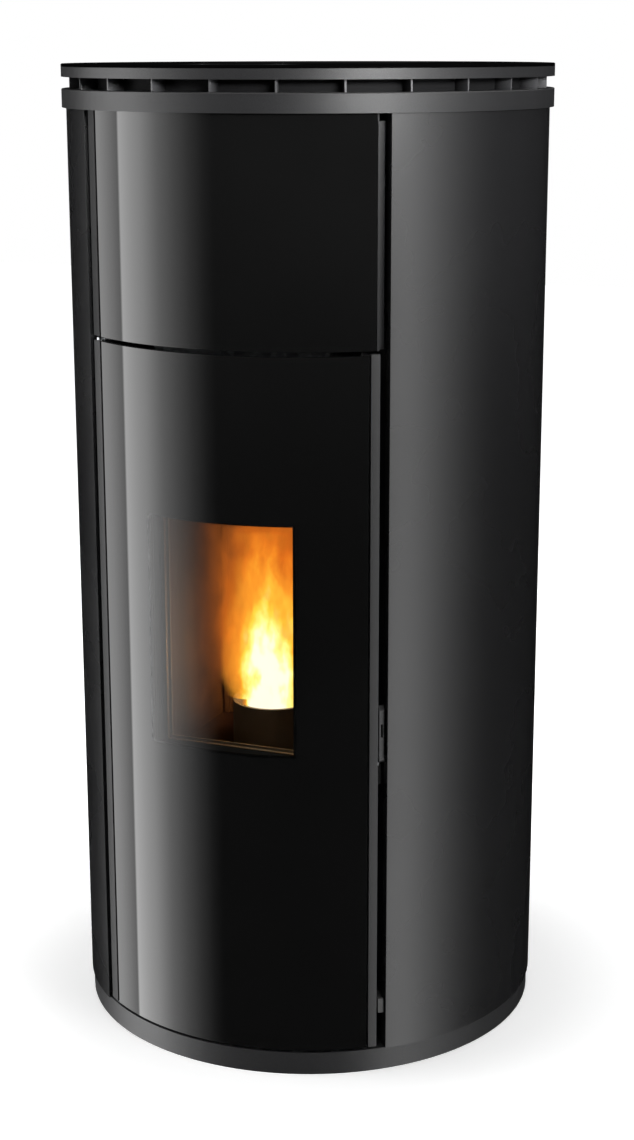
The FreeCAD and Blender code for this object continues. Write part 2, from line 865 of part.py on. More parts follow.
def glass_retainer():
    """Folded frame screwed behind the flat glass."""
    glass_half = leaf_opening_half + fire_glass_lap + slide_clearance
    bottom = leaf_opening_bottom - fire_glass_lap - slide_clearance
    top = leaf_opening_top + fire_glass_lap + slide_clearance
    back = -leaf_back_depth + fire_glass_thickness + seat_gap + retainer_sheet
    rim = 2 * retainer_sheet
    frame = block(-glass_half - rim, glass_half + rim, -leaf_back_depth, back, bottom - rim, top + rim)
    pocket = block(-glass_half, glass_half, -leaf_front_depth, back - retainer_sheet, bottom, top)
    view = block(-glass_half + retainer_width, glass_half - retainer_width, -leaf_front_depth, 0,
                 bottom + retainer_width, top - retainer_width)
    return frame.cut(pocket).cut(view)


def door_gasket():
    """Rope seal round the fire opening, on the back of the leaf."""
    radius = gasket_thickness / 2 - seat_gap
    y = -leaf_back_depth + gasket_thickness / 2
    half = fire_half_width + gasket_lap
    bottom = fire_floor_height - gasket_lap
    top = fire_roof_height + gasket_lap
    start = V(0, y, bottom)
    points = [start, V(half, y, bottom), V(half, y, top), V(-half, y, top), V(-half, y, bottom), start]
    return swept(bent_path(points, gasket_corner), radius)


def latch_frame():
    """Middle of the lever's thickness, as a pivot point and its two directions."""
    middle_deg = (latch_start_deg + latch_end_deg) / 2
    pivot = polar(latch_pivot_radius, middle_deg, latch_pivot_height)
    return pivot, outward(middle_deg), rightward(middle_deg)


def latch_thickness():
    return latch_pivot_radius * math.radians(latch_end_deg - latch_start_deg)


def latch_outline(points):
    """Plate of the lever's thickness from points given as (outwards, up) from the pivot."""
    pivot, out, right = latch_frame()
    half = latch_thickness() / 2
    corners = [pivot - right * half + out * n + V(0, 0, z) for n, z in points]
    face = Part.Face(Part.makePolygon(corners + corners[:1]))
    return face.extrude(right * (2 * half))


def latch_handle():
    """Pull lever that stands in the finger gap, with an arm and a hook behind the door."""
    pivot, out, right = latch_frame()
    half = latch_thickness() / 2
    slope = latch_lever_front
    lever = latch_outline([
        (-latch_lever_back, 0),
        (latch_lever_front, 0),
        (latch_lever_front, latch_lever_height - slope),
        (0, latch_lever_height),
        (-latch_lever_back, latch_lever_height),
    ])
    arm_low = -latch_arm_height / 2
    arm_high = latch_arm_height / 2
    arm = latch_outline([
        (0, arm_low),
        (0, arm_high),
        (-latch_arm_length, arm_high),
        (-latch_arm_length, -latch_nose_drop),
        (-latch_arm_length + latch_nose_length, -latch_nose_drop),
        (-latch_arm_length + latch_nose_length, arm_low),
    ])
    boss = rod(latch_boss_radius, pivot - right * half, pivot + right * half)
    handle = lever.fuse([arm, boss]).removeSplitter()
    bore = rod(latch_pin_radius + pin_clearance, pivot - right * overrun, pivot + right * overrun)
    slot_foot = pivot + V(0, 0, latch_slot_rise) - right * (latch_slot_width / 2) - out * overrun
    slot_face = Part.makePolygon([
        slot_foot,
        slot_foot + right * latch_slot_width,
        slot_foot + right * latch_slot_width + V(0, 0, latch_slot_height),
        slot_foot + V(0, 0, latch_slot_height),
        slot_foot,
    ])
    slot = Part.Face(slot_face).extrude(out * (2 * overrun))
    return handle.cut(bore).cut(slot)


def latch_pin():
    """Bracket behind the right strip with the pin that the lever turns on."""
    pivot, _, right = latch_frame()
    start = pivot - right * (latch_thickness() / 2 + slide_clearance + latch_bracket_sheet)
    end = pivot + right * (latch_thickness() / 2 + latch_pin_overhang)
    pin = rod(latch_pin_radius, start, end)
    top = latch_pivot_height + latch_bracket_height / 2
    bottom = latch_pivot_height - latch_bracket_height / 2
    edge_deg = latch_start_deg - math.degrees(slide_clearance / latch_pivot_radius)
    back_deg = edge_deg - math.degrees(latch_bracket_sheet / latch_pivot_radius)
    bracket = curved_slab(latch_pivot_radius - latch_boss_radius, frame_inner - seat_gap,
                          back_deg, edge_deg, bottom, top)
    return bracket.fuse(pin).removeSplitter()


def latch_strike():
    """Angle on the right post whose lip the hook drops behind, and the rest block low in the gap."""
    lip_top = latch_pivot_height - latch_nose_drop - strike_clearance
    lip_outer = latch_pivot_radius - latch_arm_length + latch_nose_length + strike_sheet + strike_swing_room
    lip_inner = lip_outer - strike_sheet
    middle_deg = (latch_start_deg + latch_end_deg) / 2
    half_deg = math.degrees(strike_half_width / lip_outer)
    start_deg = middle_deg - half_deg
    end_deg = post_start_deg
    lip = curved_slab(lip_inner, lip_outer, start_deg, end_deg, lip_top - strike_height, lip_top)
    shelf = curved_slab(post_radius + post_sheet + seat_gap, lip_outer, start_deg, end_deg,
                        lip_top - strike_height, lip_top - strike_height + strike_sheet)
    rest_outer = panel_radius - rest_inset
    rest_inner = rest_outer - rest_depth
    rest_start_deg = panel_front_deg - math.degrees(rest_width / rest_outer)
    rest_end_deg = panel_front_deg - math.degrees(rest_groove / rest_outer)
    rest_bottom = plinth_height + rest_rise
    rest_top = rest_bottom + rest_height
    head = curved_slab(rest_inner, rest_outer, rest_start_deg, rest_end_deg, rest_bottom, rest_top)
    stem = curved_slab(rest_inner, rest_inner + rest_stem_depth, rest_start_deg, post_start_deg,
                       rest_bottom, rest_top)
    rest = head.fuse(stem).removeSplitter()
    return Part.makeCompound([lip.fuse(shelf).removeSplitter(), rest])


def chute_line():
    """Top point of the feed chute and its downward direction."""
    slope = math.radians(chute_slope_deg)
    top = V(0, chute_top_back, auger_height - auger_tube_radius - chute_top_drop)
    return top, V(0, -math.cos(slope), -math.sin(slope))


def chute_cutter(gap):
    """Room for the feed chute in the walls that it passes."""
    top, down = chute_line()
    return rod(chute_radius + gap, top, top + down * (fire_back_depth + chute_top_back + panel_radius / 2))


def back_wall_cutters(gap):
    """Room for the chute, the air pipe and the igniter in the walls behind the fire."""
    air = rod(air_pipe_radius + gap, V(air_pipe_side, -fire_back_depth - overrun, air_pipe_height),
              V(air_pipe_side, jacket_back + overrun, air_pipe_height))
    igniter = rod(igniter_radius + gap, V(0, -pot_depth, igniter_height),
                  V(0, jacket_back + overrun, igniter_height))
    wall_room = block(-panel_radius, panel_radius, -pot_depth / 2, jacket_back + overrun, 0, stove_height)
    return [chute_cutter(gap).common(wall_room), air, igniter]


def smoke_tube_places():
    places = []
    for column in range(smoke_tube_columns):
        for row in range(smoke_tube_rows):
            x = smoke_tube_pitch_x * (column - (smoke_tube_columns - 1) / 2)
            y = -smoke_tube_depth + smoke_tube_pitch_y * (row - (smoke_tube_rows - 1) / 2)
            places.append((x, y))
    return places


def smoke_tube_cutters(radius, z0, z1):
    return [rod(radius, V(x, y, z0), V(x, y, z1)) for x, y in smoke_tube_places()]


def firebox():
    """Fire chamber open to the front: floor with the pot seat, side walls, rear wall and roof."""
    floor_under = fire_floor_height - fire_wall
    outer = block(-fire_half_width - fire_wall, fire_half_width + fire_wall, -plate_back_depth,
                  -fire_back_depth + fire_wall, floor_under, fire_roof_height + fire_wall)
    chamber = block(-fire_half_width, fire_half_width, -panel_radius, -fire_back_depth,
                    fire_floor_height, fire_roof_height)
    pot_hole = rod(pot_seat_radius + slide_clearance, V(0, -pot_depth, floor_under - overrun),
                   V(0, -pot_depth, fire_floor_height + overrun))
    smoke_holes = smoke_tube_cutters(smoke_tube_radius - smoke_tube_wall, fire_roof_height - overrun,
                                     fire_roof_height + fire_wall + overrun)
    return outer.cut(chamber).cut(pot_hole).cut(smoke_holes + back_wall_cutters(seat_gap))


def ash_box():
    """Trough under the fire chamber that takes the ash drawer and the combustion air."""
    outer = block(-fire_half_width - fire_wall, fire_half_width + fire_wall, -plate_back_depth,
                  -fire_back_depth + fire_wall, jacket_bottom, fire_floor_height - fire_wall)
    room = block(-fire_half_width, fire_half_width, -panel_radius, -fire_back_depth,
                 ash_floor_height, fire_floor_height)
    return outer.cut(room).cut(back_wall_cutters(seat_gap))


def firebox_front():
    """Front plate that the fire door seals on, with the fire mouth and the drawer's opening."""
    plate = block(-front_plate_half_width, front_plate_half_width, -plate_front_depth, -plate_back_depth,
                  jacket_bottom - front_plate_drop, jacket_top)
    mouth = block(-fire_half_width, fire_half_width, -panel_radius, -fire_back_depth,
                  fire_floor_height, fire_roof_height)
    ash_mouth = block(-fire_half_width + ash_opening_margin, fire_half_width - ash_opening_margin,
                      -panel_radius, -fire_back_depth, ash_floor_height + ash_opening_margin,
                      fire_floor_height - ash_sill)
    return plate.cut(mouth).cut(ash_mouth)


def fire_back_plate():
    """Cast liner with upright ribs on the rear wall of the fire chamber."""
    bottom = fire_floor_height + back_plate_clearance
    top = fire_roof_height - back_plate_clearance
    half = fire_half_width - back_plate_clearance
    back = -fire_back_depth - seat_gap
    front = back - back_plate_thickness
    plate = block(-half, half, front, back, bottom, top)
    ribs = []
    for i in range(back_plate_rib_count):
        x = (half - back_plate_rib_width) * (2 * i / (back_plate_rib_count - 1) - 1)
        ribs.append(block(x - back_plate_rib_width / 2, x + back_plate_rib_width / 2,
                          front - back_plate_rib, front, bottom, top))
    return plate.fuse(ribs).removeSplitter().cut(back_wall_cutters(slide_clearance))


def water_jacket():
    """Outer shell of the boiler on legs, with the smoke tubes that hang from its roof."""
    inner_half = jacket_half_width - jacket_wall
    shell = block(-jacket_half_width, jacket_half_width, -plate_back_depth + seat_gap, jacket_back,
                  jacket_bottom, jacket_top)
    water = block(-inner_half, inner_half, -plate_back_depth - overrun, jacket_back - jacket_wall,
                  jacket_bottom + jacket_wall, jacket_top - jacket_wall)
    fire_room = block(-fire_half_width - fire_wall - seat_gap, fire_half_width + fire_wall + seat_gap,
                      -plate_back_depth - overrun, -fire_back_depth + fire_wall + seat_gap,
                      jacket_bottom - overrun, jacket_bottom + jacket_wall + overrun)
    shell = shell.cut(water).cut(fire_room)
    tube_foot = fire_roof_height + fire_wall + seat_gap
    tubes = smoke_tube_cutters(smoke_tube_radius, tube_foot, jacket_top)
    legs = []
    front_leg = -plate_back_depth + jacket_leg_inset
    for side in (-1, 1):
        for y in (front_leg, front_leg + jacket_leg_pitch):
            x = side * (jacket_half_width - jacket_leg / 2)
            legs.append(block(x - jacket_leg / 2, x + jacket_leg / 2,
                              y - jacket_leg / 2, y + jacket_leg / 2, plinth_height, jacket_bottom))
    shell = shell.fuse(tubes + legs).removeSplitter()
    bores = smoke_tube_cutters(smoke_tube_radius - smoke_tube_wall, tube_foot - overrun,
                               jacket_top + overrun)
    return shell.cut(bores + back_wall_cutters(seat_gap))


def smoke_duct():
    """Hood over the smoke tubes, duct down the left side and the box in front of the fan."""
    hood_top = hood_bottom + hood_height
    spaces = [
        (-hood_half_width, hood_half_width, -hood_front_depth, -hood_back_depth, hood_bottom, hood_top),
        (-duct_outer, -hood_half_width + 2 * duct_wall, -duct_front_depth, -hood_back_depth,
         hood_bottom, hood_top),
        (-duct_outer, -duct_inner, -duct_front_depth, -hood_back_depth, duct_low_bottom, hood_top),
        (-duct_outer, -fan_half_width, -duct_front_depth, duct_low_back, duct_low_bottom, duct_low_top),
    ]
    outer = [block(*space) for space in spaces]
    inner = []
    for x0, x1, y0, y1, z0, z1 in spaces:
        inner.append(block(x0 + duct_wall, x1 - duct_wall, y0 + duct_wall, y1 - duct_wall,
                           z0 + duct_wall, z1 - duct_wall))
    mouth = block(-hood_half_width + duct_wall, hood_half_width - duct_wall, -hood_front_depth + duct_wall,
                  -hood_back_depth - duct_wall, hood_bottom - overrun, hood_bottom + duct_wall)
    outlet = rod(fan_inlet_radius, V(-fan_half_width - overrun, fan_back, fan_height),
                 V(-fan_half_width + overrun, fan_back, fan_height))
    duct = outer[0].fuse(outer[1:]).removeSplitter()
    return duct.cut(inner[0].fuse(inner[1:] + [mouth])).cut(outlet)


def fan_housing():
    """Scroll of the exhaust fan with its outlet to the rear."""
    def scroll(wall, back):
        drum = rod(fan_radius - wall, V(-fan_half_width + wall, fan_back, fan_height),
                   V(fan_half_width - wall, fan_back, fan_height))
        outlet = block(-fan_half_width + wall, fan_half_width - wall, fan_back, back,
                       fan_outlet_bottom + wall, fan_outlet_bottom + fan_outlet_height - wall)
        return drum.fuse(outlet)
    shell = scroll(0, fan_outlet_back).removeSplitter().cut(scroll(duct_wall, fan_outlet_back + overrun))
    inlet = rod(fan_inlet_radius, V(-fan_half_width - overrun, fan_back, fan_height),
                V(0, fan_back, fan_height))
    shaft_hole = rod(fan_shaft_hole, V(0, fan_back, fan_height),
                     V(fan_half_width + overrun, fan_back, fan_height))
    return shell.cut(inlet).cut(shaft_hole)


def fan_impeller():
    """Disc with leaning blades on a shaft into the motor."""
    centre = V(0, fan_back, fan_height)
    disc = rod(impeller_radius, centre + V(impeller_half_width - impeller_disc, 0, 0),
               centre + V(impeller_half_width, 0, 0))
    hub = rod(impeller_hub_radius, centre, centre + V(impeller_half_width, 0, 0))
    shaft = rod(fan_shaft_radius, centre, centre + V(fan_half_width + fan_shaft_length, 0, 0))
    blades = []
    blade_span = impeller_radius - 2 * impeller_hub_radius
    for i in range(impeller_blade_count):
        blade = block(-impeller_half_width, impeller_half_width, -impeller_blade / 2, impeller_blade / 2,
                      -blade_span / 2, blade_span / 2)
        blade.rotate(V(0, 0, 0), V(1, 0, 0), impeller_blade_lean_deg)
        blade.translate(V(0, 0, impeller_radius - blade_span / 2 - impeller_blade))
        blade.rotate(V(0, 0, 0), V(1, 0, 0), 360 * i / impeller_blade_count)
        blade.translate(centre)
        blades.append(blade)
    return disc.fuse([hub, shaft] + blades).removeSplitter()


def fan_motor():
    """Finned motor can on the right of the fan."""
    start = V(fan_half_width, fan_back, fan_height)
    length = fan_motor_length
    can = rod(fan_motor_radius, start, start + V(length, 0, 0))
    flange = rod(fan_motor_flange_radius, start, start + V(fan_motor_flange, 0, 0))
    motor = can.fuse(flange).removeSplitter()
    pitch = (length - fan_motor_flange) / (fan_motor_groove_count + 1)
    for i in range(fan_motor_groove_count):
        place = start + V(fan_motor_flange + pitch * (i + 1), 0, 0)
        end = place + V(fan_motor_groove, 0, 0)
        core = rod(fan_motor_radius - fan_motor_groove, place, end)
        motor = motor.cut(rod(fan_motor_radius + overrun, place, end).cut(core))
    return motor.cut(rod(fan_shaft_radius + pin_clearance, start - V(overrun, 0, 0),
                         start + V(fan_shaft_length + slide_clearance, 0, 0)))


def stop_bead(x, z, radius):
    """Collar just behind the rear panel that stops a pipe pushed over the connection."""
    start = rear_face + bead_gap
    return rod(radius + bead_height, V(x, start, z), V(x, start + bead_length, z))


def flue_spigot():
    """Round outlet for the flue on a square flange."""
    start = V(0, fan_outlet_back, flue_height)
    plate = block(-flue_flange_half, flue_flange_half, fan_outlet_back, fan_outlet_back + flue_flange,
                  flue_height - flue_flange_half, flue_height + flue_flange_half)
    pipe = rod(flue_radius, start, V(0, flue_end, flue_height))
    bore = rod(flue_radius - flue_wall, start - V(0, overrun, 0), V(0, flue_end + overrun, flue_height))
    return plate.fuse([pipe, stop_bead(0, flue_height, flue_radius)]).removeSplitter().cut(bore)


def air_intake_pipe():
    start = V(air_pipe_side, -fire_back_depth, air_pipe_height)
    end = V(air_pipe_side, flue_end, air_pipe_height)
    bore = rod(air_pipe_radius - air_pipe_wall, start - V(0, overrun, 0), end + V(0, overrun, 0))
    pipe = rod(air_pipe_radius, start, end).fuse(stop_bead(air_pipe_side, air_pipe_height, air_pipe_radius))
    return pipe.removeSplitter().cut(bore)


def burn_pot():
    """Cup with a grate floor and a spigot into the firebox floor."""
    centre = V(0, -pot_depth, 0)
    body = rod(pot_radius, centre + V(0, 0, pot_bottom), centre + V(0, 0, pot_rim))
    spigot = rod(pot_seat_radius, centre + V(0, 0, pot_bottom - pot_spigot_height),
                 centre + V(0, 0, pot_rim))
    room = rod(pot_radius - pot_wall, centre + V(0, 0, pot_bottom + pot_floor),
               centre + V(0, 0, pot_rim + overrun))
    below = rod(pot_seat_radius - pot_wall, centre, centre + V(0, 0, pot_bottom))
    cutters = [room, below]
    for i in range(pot_grate_count):
        place = centre + polar(pot_grate_circle, 360 * i / pot_grate_count, 0)
        cutters.append(rod(pot_grate_hole_radius, place, place + V(0, 0, pot_rim)))
    return body.fuse(spigot).removeSplitter().cut(cutters)


def igniter():
    """Heater cartridge through the rear wall, pointing at the pot."""
    tip = -pot_depth + pot_radius + igniter_pot_gap
    wall_back = -fire_back_depth + fire_wall
    cartridge = rod(igniter_radius, V(0, tip, igniter_height),
                    V(0, wall_back + igniter_tail, igniter_height))
    flange = rod(igniter_flange_radius, V(0, wall_back, igniter_height),
                 V(0, wall_back + igniter_flange, igniter_height))
    return cartridge.fuse(flange).removeSplitter()


def ash_drawer():
    """Open pan under the grate with a front plate and a pull."""
    half = fire_half_width - ash_opening_margin - drawer_clearance
    bottom = ash_floor_height + ash_opening_margin + seat_gap
    top = fire_floor_height - ash_sill - drawer_clearance
    front = -plate_front_depth - seat_gap
    back = -fire_back_depth - drawer_clearance
    pan = block(-half, half, front, back, bottom, top)
    room = block(-half + drawer_sheet, half - drawer_sheet, front + drawer_sheet, back - drawer_sheet,
                 bottom + drawer_sheet, top + overrun)
    runners = block(-half, -half + ash_opening_margin, -plate_back_depth + slide_clearance, back,
                    ash_floor_height + seat_gap, bottom)
    runners = runners.fuse(mirrored(runners))
    plate = block(-half - drawer_front_lap, half + drawer_front_lap, front - drawer_front_thickness, front,
                  bottom - drawer_front_lap / 2, top + drawer_front_lap / 2)
    middle = (bottom + top) / 2
    grip_front = front - drawer_front_thickness - drawer_grip_depth
    grip = block(-drawer_grip_half, drawer_grip_half, grip_front, front - drawer_front_thickness,
                 middle - drawer_grip_height / 2, middle + drawer_grip_height / 2)
    hand = block(-drawer_grip_half + drawer_grip_height, drawer_grip_half - drawer_grip_height,
                 grip_front + drawer_front_thickness, front - drawer_front_thickness, bottom, top)
    return pan.cut(room).fuse([runners, plate, grip.cut(hand)]).removeSplitter()


def hopper_loft(inset, top):
    """Hopper body drawn in by a wall thickness: an upright store over a funnel."""
    outlet = rectangle(hopper_outlet_half - inset, hopper_outlet_front + inset, hopper_outlet_back - inset,
                       hopper_outlet_height)
    shoulder = rectangle(hopper_half_width - inset, -hopper_front_depth + inset, hopper_back - inset,
                         hopper_slope_height)
    funnel = Part.makeLoft([outlet, shoulder], True, True)
    store = block(-hopper_half_width + inset, hopper_half_width - inset, -hopper_front_depth + inset,
                  hopper_back - inset, hopper_slope_height, top)
    return funnel.fuse(store)


def hopper():
    """Pellet store with a funnel, a carrying flange on the crown and a ledge for the lid seal."""
    body = hopper_loft(0, hopper_ledge_top).removeSplitter()
    lip = block(-hopper_half_width - hopper_lip, hopper_half_width + hopper_lip,
                -hopper_front_depth - hopper_lip, hopper_back + hopper_lip,
                crown_top, crown_top + hopper_lip_sheet)
    room = hopper_loft(hopper_sheet, hopper_ledge_top - hopper_lip_sheet)
    mouth = block(-hopper_half_width + hopper_ledge, hopper_half_width - hopper_ledge,
                  -hopper_front_depth + hopper_ledge, hopper_back - hopper_ledge,
                  hopper_slope_height, top_under)
    return body.fuse(lip).removeSplitter().cut(room).cut(mouth)


def hopper_lid():
    """Flush lid with two hinge ears at the rear and a finger notch at the front."""
    plate = block(-lid_half_width, lid_half_width, -lid_front_depth, lid_axis_back, top_under, stove_height)
    notch_centre = -lid_front_depth - lid_notch_radius + lid_notch_depth
    notch = rod(lid_notch_radius, V(0, notch_centre, top_under - overrun),
                V(0, notch_centre, stove_height + overrun))
    lid = plate.cut(notch)
    ears = []
    bores = []
    for side in (-1, 1):
        inner = side * (lid_half_width - lid_ear_inset - lid_ear_length)
        outer = side * (lid_half_width - lid_ear_inset)
        start = V(inner, lid_axis_back, lid_axis_height)
        end = V(outer, lid_axis_back, lid_axis_height)
        ears.append(rod(lid_ear_radius, start, end))
        bores.append(rod(lid_pin_radius + pin_clearance, end, start))
    return lid.fuse(ears).removeSplitter().cut(bores)


def lid_hinges():
    """Two upright brackets on the hopper with pins into the lid's ears."""
    brackets = []
    half = lid_axis_drop - lid_bracket_clearance
    for side in (-1, 1):
        near = side * (lid_half_width - lid_ear_inset + slide_clearance)
        far = near + side * lid_bracket
        tip = side * (lid_half_width - lid_ear_inset - lid_pin_length)
        low = min(near, far)
        cheek = block(low, low + lid_bracket, lid_axis_back - half, lid_axis_back + half,
                      hopper_ledge_top, lid_axis_height)
        knuckle = rod(half, V(near, lid_axis_back, lid_axis_height), V(far, lid_axis_back, lid_axis_height))
        pin = rod(lid_pin_radius, V(tip, lid_axis_back, lid_axis_height),
                  V(far, lid_axis_back, lid_axis_height))
        brackets.append(cheek.fuse([knuckle, pin]).removeSplitter())
    return Part.makeCompound(brackets)


def lid_seal():
    """Square rope under the lid that closes on the hopper's ledge."""
    half = lid_half_width - lid_seal_inset
    front = -lid_front_depth + lid_notch_depth + lid_seal_inset / 2
    back = lid_axis_back - lid_ear_radius - lid_seal_inset / 2
    bottom = hopper_ledge_top + slide_clearance
    rope = block(-half, half, front, back, bottom, top_under)
    room = block(-half + lid_seal_width, half - lid_seal_width,
                 front + lid_seal_width, back - lid_seal_width, bottom - overrun, top_under + overrun)
    return rope.cut(room)


def auger_tube():
    """Feed tube with a filling neck under the hopper and a drop opening at the front."""
    front = V(0, auger_tube_front, auger_height)
    back = V(0, auger_tube_back, auger_height)
    neck = block(-hopper_outlet_half, hopper_outlet_half, hopper_outlet_front, hopper_outlet_back,
                 auger_height, hopper_outlet_height)
    body = rod(auger_tube_radius, front, back).fuse(neck).removeSplitter()
    bore = rod(auger_tube_radius - auger_tube_wall, front + V(0, auger_end_plate, 0),
               back - V(0, auger_end_plate, 0))
    neck_room = block(-hopper_outlet_half + auger_neck_wall, hopper_outlet_half - auger_neck_wall,
                      hopper_outlet_front + auger_neck_wall, hopper_outlet_back - auger_neck_wall,
                      auger_height, hopper_outlet_height + overrun)
    drop = block(-chute_radius + chute_wall, chute_radius - chute_wall, auger_drop_front, auger_drop_back,
                 auger_height - auger_tube_radius - overrun, auger_height)
    shaft_hole = rod(auger_shaft_radius + pin_clearance, front + V(0, auger_end_plate, 0),
                     back + V(0, overrun, 0))
    return body.cut(bore).cut(neck_room).cut(drop).cut(shaft_hole)


def auger_screw():
    """Shaft with one helical flight."""
    length = auger_pitch * auger_turns
    helix = Part.makeHelix(auger_pitch, length, auger_shaft_radius)
    root = auger_shaft_radius / 2
    section = Part.makePolygon([
        V(root, 0, -auger_flight / 2),
        V(auger_screw_radius, 0, -auger_flight / 2),
        V(auger_screw_radius, 0, auger_flight / 2),
        V(root, 0, auger_flight / 2),
        V(root, 0, -auger_flight / 2),
    ])
    flight = Part.Wire(helix).makePipeShell([section], True, True)
    flight.rotate(V(0, 0, 0), V(1, 0, 0), -90)
    start = auger_tube_front + auger_end_plate + auger_flight
    flight.translate(V(0, start, auger_height))
    shaft = rod(auger_shaft_radius, V(0, start - auger_flight + slide_clearance, auger_height),
                V(0, auger_tube_back + auger_shaft_in_gear, auger_height))
    return shaft.fuse(flight).removeSplitter()


def auger_gearmotor():
    """Gearbox and motor on the rear end of the feed tube."""
    start = auger_tube_back
    end = start + gearbox_length
    gearbox = block(-gearbox_half, gearbox_half, start, end,
                    auger_height - gearbox_half, auger_height + gearbox_half)
    motor = rod(gear_motor_radius, V(0, end, auger_height), V(0, end + gear_motor_length, auger_height))
    bore = rod(auger_shaft_radius + pin_clearance, V(0, start - overrun, auger_height),
               V(0, start + auger_shaft_in_gear + slide_clearance, auger_height))
    return gearbox.fuse(motor).removeSplitter().cut(bore)


def feed_chute():
    """Sloping tube from the feed tube through the water jacket to the fire."""
    top, down = chute_line()
    reach = (chute_top_back + fire_back_depth + chute_reach) / math.cos(math.radians(chute_slope_deg))
    lead = down * chute_radius
    tube = rod(chute_radius, top - lead, top + down * reach)
    room = rod(chute_radius - chute_wall, top - lead * 2, top + down * (reach + overrun))
    under = block(-panel_radius, panel_radius, -panel_radius, panel_radius, 0,
                  auger_height - auger_tube_radius - seat_gap)
    collar = block(-chute_radius, chute_radius, auger_drop_front, auger_drop_back + chute_wall,
                   auger_height - auger_tube_radius - chute_collar_share * chute_radius, auger_height)
    collar_room = block(-chute_radius + chute_wall, chute_radius - chute_wall,
                        auger_drop_front + chute_wall, auger_drop_back,
                        auger_height - auger_tube_radius - chute_radius, auger_height)
    feed_tube = rod(auger_tube_radius + seat_gap, V(0, 0, auger_height), V(0, panel_radius, auger_height))
    chute = tube.common(under).fuse(collar).removeSplitter()
    return chute.cut(room).cut(collar_room).cut(feed_tube)


def circulation_pump():
    """Pump with a round volute, a motor can and a foot on the base."""
    left = V(-pump_side - pump_volute_half, pump_back, pump_height)
    right = V(-pump_side + pump_volute_half, pump_back, pump_height)
    volute = rod(pump_volute_radius, left, right)
    motor = rod(pump_motor_radius, right, right + V(pump_motor_length, 0, 0))
    foot = block(-pump_side - pump_foot, -pump_side + pump_foot, pump_back - pump_volute_radius,
                 pump_back + pump_volute_radius, plinth_height, pump_height)
    return volute.fuse([motor, foot]).removeSplitter()


def return_connector():
    """Stub from the rear of the stove to the pump."""
    start = V(-pump_side, pump_back + pump_volute_radius + seat_gap, pump_height)
    end = V(-pump_side, water_end, pump_height)
    bore = rod(water_pipe_radius - water_pipe_wall, start, end)
    pipe = rod(water_pipe_radius, start, end).fuse(stop_bead(-pump_side, pump_height, water_pipe_radius))
    return pipe.removeSplitter().cut(bore)


def return_pipe():
    """Pipe from the pump up and forward to the bottom of the water jacket."""
    foot = pump_height + pump_volute_radius + seat_gap
    points = [V(-pump_side, return_back, foot), V(-pump_side, return_back, return_height),
              V(-pump_side, jacket_back + seat_gap, return_height)]
    return bent_pipe(points, water_bend, water_pipe_radius, water_pipe_wall)


def flow_pipe():
    """Pipe from the top of the water jacket down to the rear of the stove."""
    points = [V(-flow_side, jacket_back + seat_gap, flow_top), V(-flow_side, flow_back, flow_top),
              V(-flow_side, flow_back, flow_bottom), V(-flow_side, water_end, flow_bottom)]
    collar = stop_bead(-flow_side, flow_bottom, water_pipe_radius)
    return bent_pipe(points, water_bend, water_pipe_radius, water_pipe_wall, [collar])


def expansion_vessel():
    """Flat round pressure vessel on a stub beside the jacket."""
    start = jacket_half_width + vessel_stub_length
    drum = rod(vessel_radius, V(start, vessel_back, vessel_height),
               V(start + vessel_thickness, vessel_back, vessel_height))
    rims = [e for e in drum.Edges if e.Closed and len(e.Vertexes) == 1]
    drum = drum.makeFillet(vessel_round, rims)
    stub = rod(vessel_stub_radius, V(jacket_half_width + seat_gap, vessel_back, vessel_height),
               V(start + vessel_thickness / 2, vessel_back, vessel_height))
    return drum.fuse(stub).removeSplitter()


def button_places():
    middle = -(bezel_front_depth + bezel_back_depth) / 2
    return {
        "button_power": V(-button_side, middle, 0),
        "button_plus": V(button_side, middle + button_pitch / 2, 0),
        "button_minus": V(button_side, middle - button_pitch / 2, 0),
    }


def control_bezel():
    """Moulded control housing set flush in the top plate."""
    body_top = top_under - seat_gap
    body_bottom = body_top - bezel_depth
    face = block(-bezel_half_width, bezel_half_width, -bezel_front_depth, -bezel_back_depth,
                 body_bottom, stove_height)
    body = block(-bezel_half_width - bezel_lip, bezel_half_width + bezel_lip,
                 -bezel_front_depth - bezel_lip, -bezel_back_depth + bezel_lip, body_bottom, body_top)
    middle = -(bezel_front_depth + bezel_back_depth) / 2
    pocket = block(-display_half_width - seat_gap, display_half_width + seat_gap,
                   middle - display_half_depth - seat_gap, middle + display_half_depth + seat_gap,
                   stove_height - display_thickness, stove_height + overrun)
    cutters = [pocket]
    for place in button_places().values():
        cap_foot = place + V(0, 0, stove_height - button_cap)
        cap_room = rod(button_radius + slide_clearance, cap_foot, place + V(0, 0, stove_height + overrun))
        cutters.append(cap_room)
        flange_foot = cap_foot - V(0, 0, button_flange_height + button_travel + slide_clearance)
        cutters.append(rod(button_radius + button_flange + slide_clearance, flange_foot,
                           cap_foot + V(0, 0, slide_clearance)))
    return face.fuse(body).removeSplitter().cut(cutters)


def push_button(place):
    """Round key with a flange that holds it in the bezel."""
    cap_foot = place + V(0, 0, stove_height - button_cap)
    cap = rod(button_radius, cap_foot, place + V(0, 0, stove_height))
    flange = rod(button_radius + button_flange, cap_foot - V(0, 0, button_flange_height), cap_foot)
    return cap.fuse(flange).removeSplitter()


def display_window():
    middle = -(bezel_front_depth + bezel_back_depth) / 2
    return block(-display_half_width, display_half_width,
                 middle - display_half_depth, middle + display_half_depth,
                 stove_height - display_thickness, stove_height)


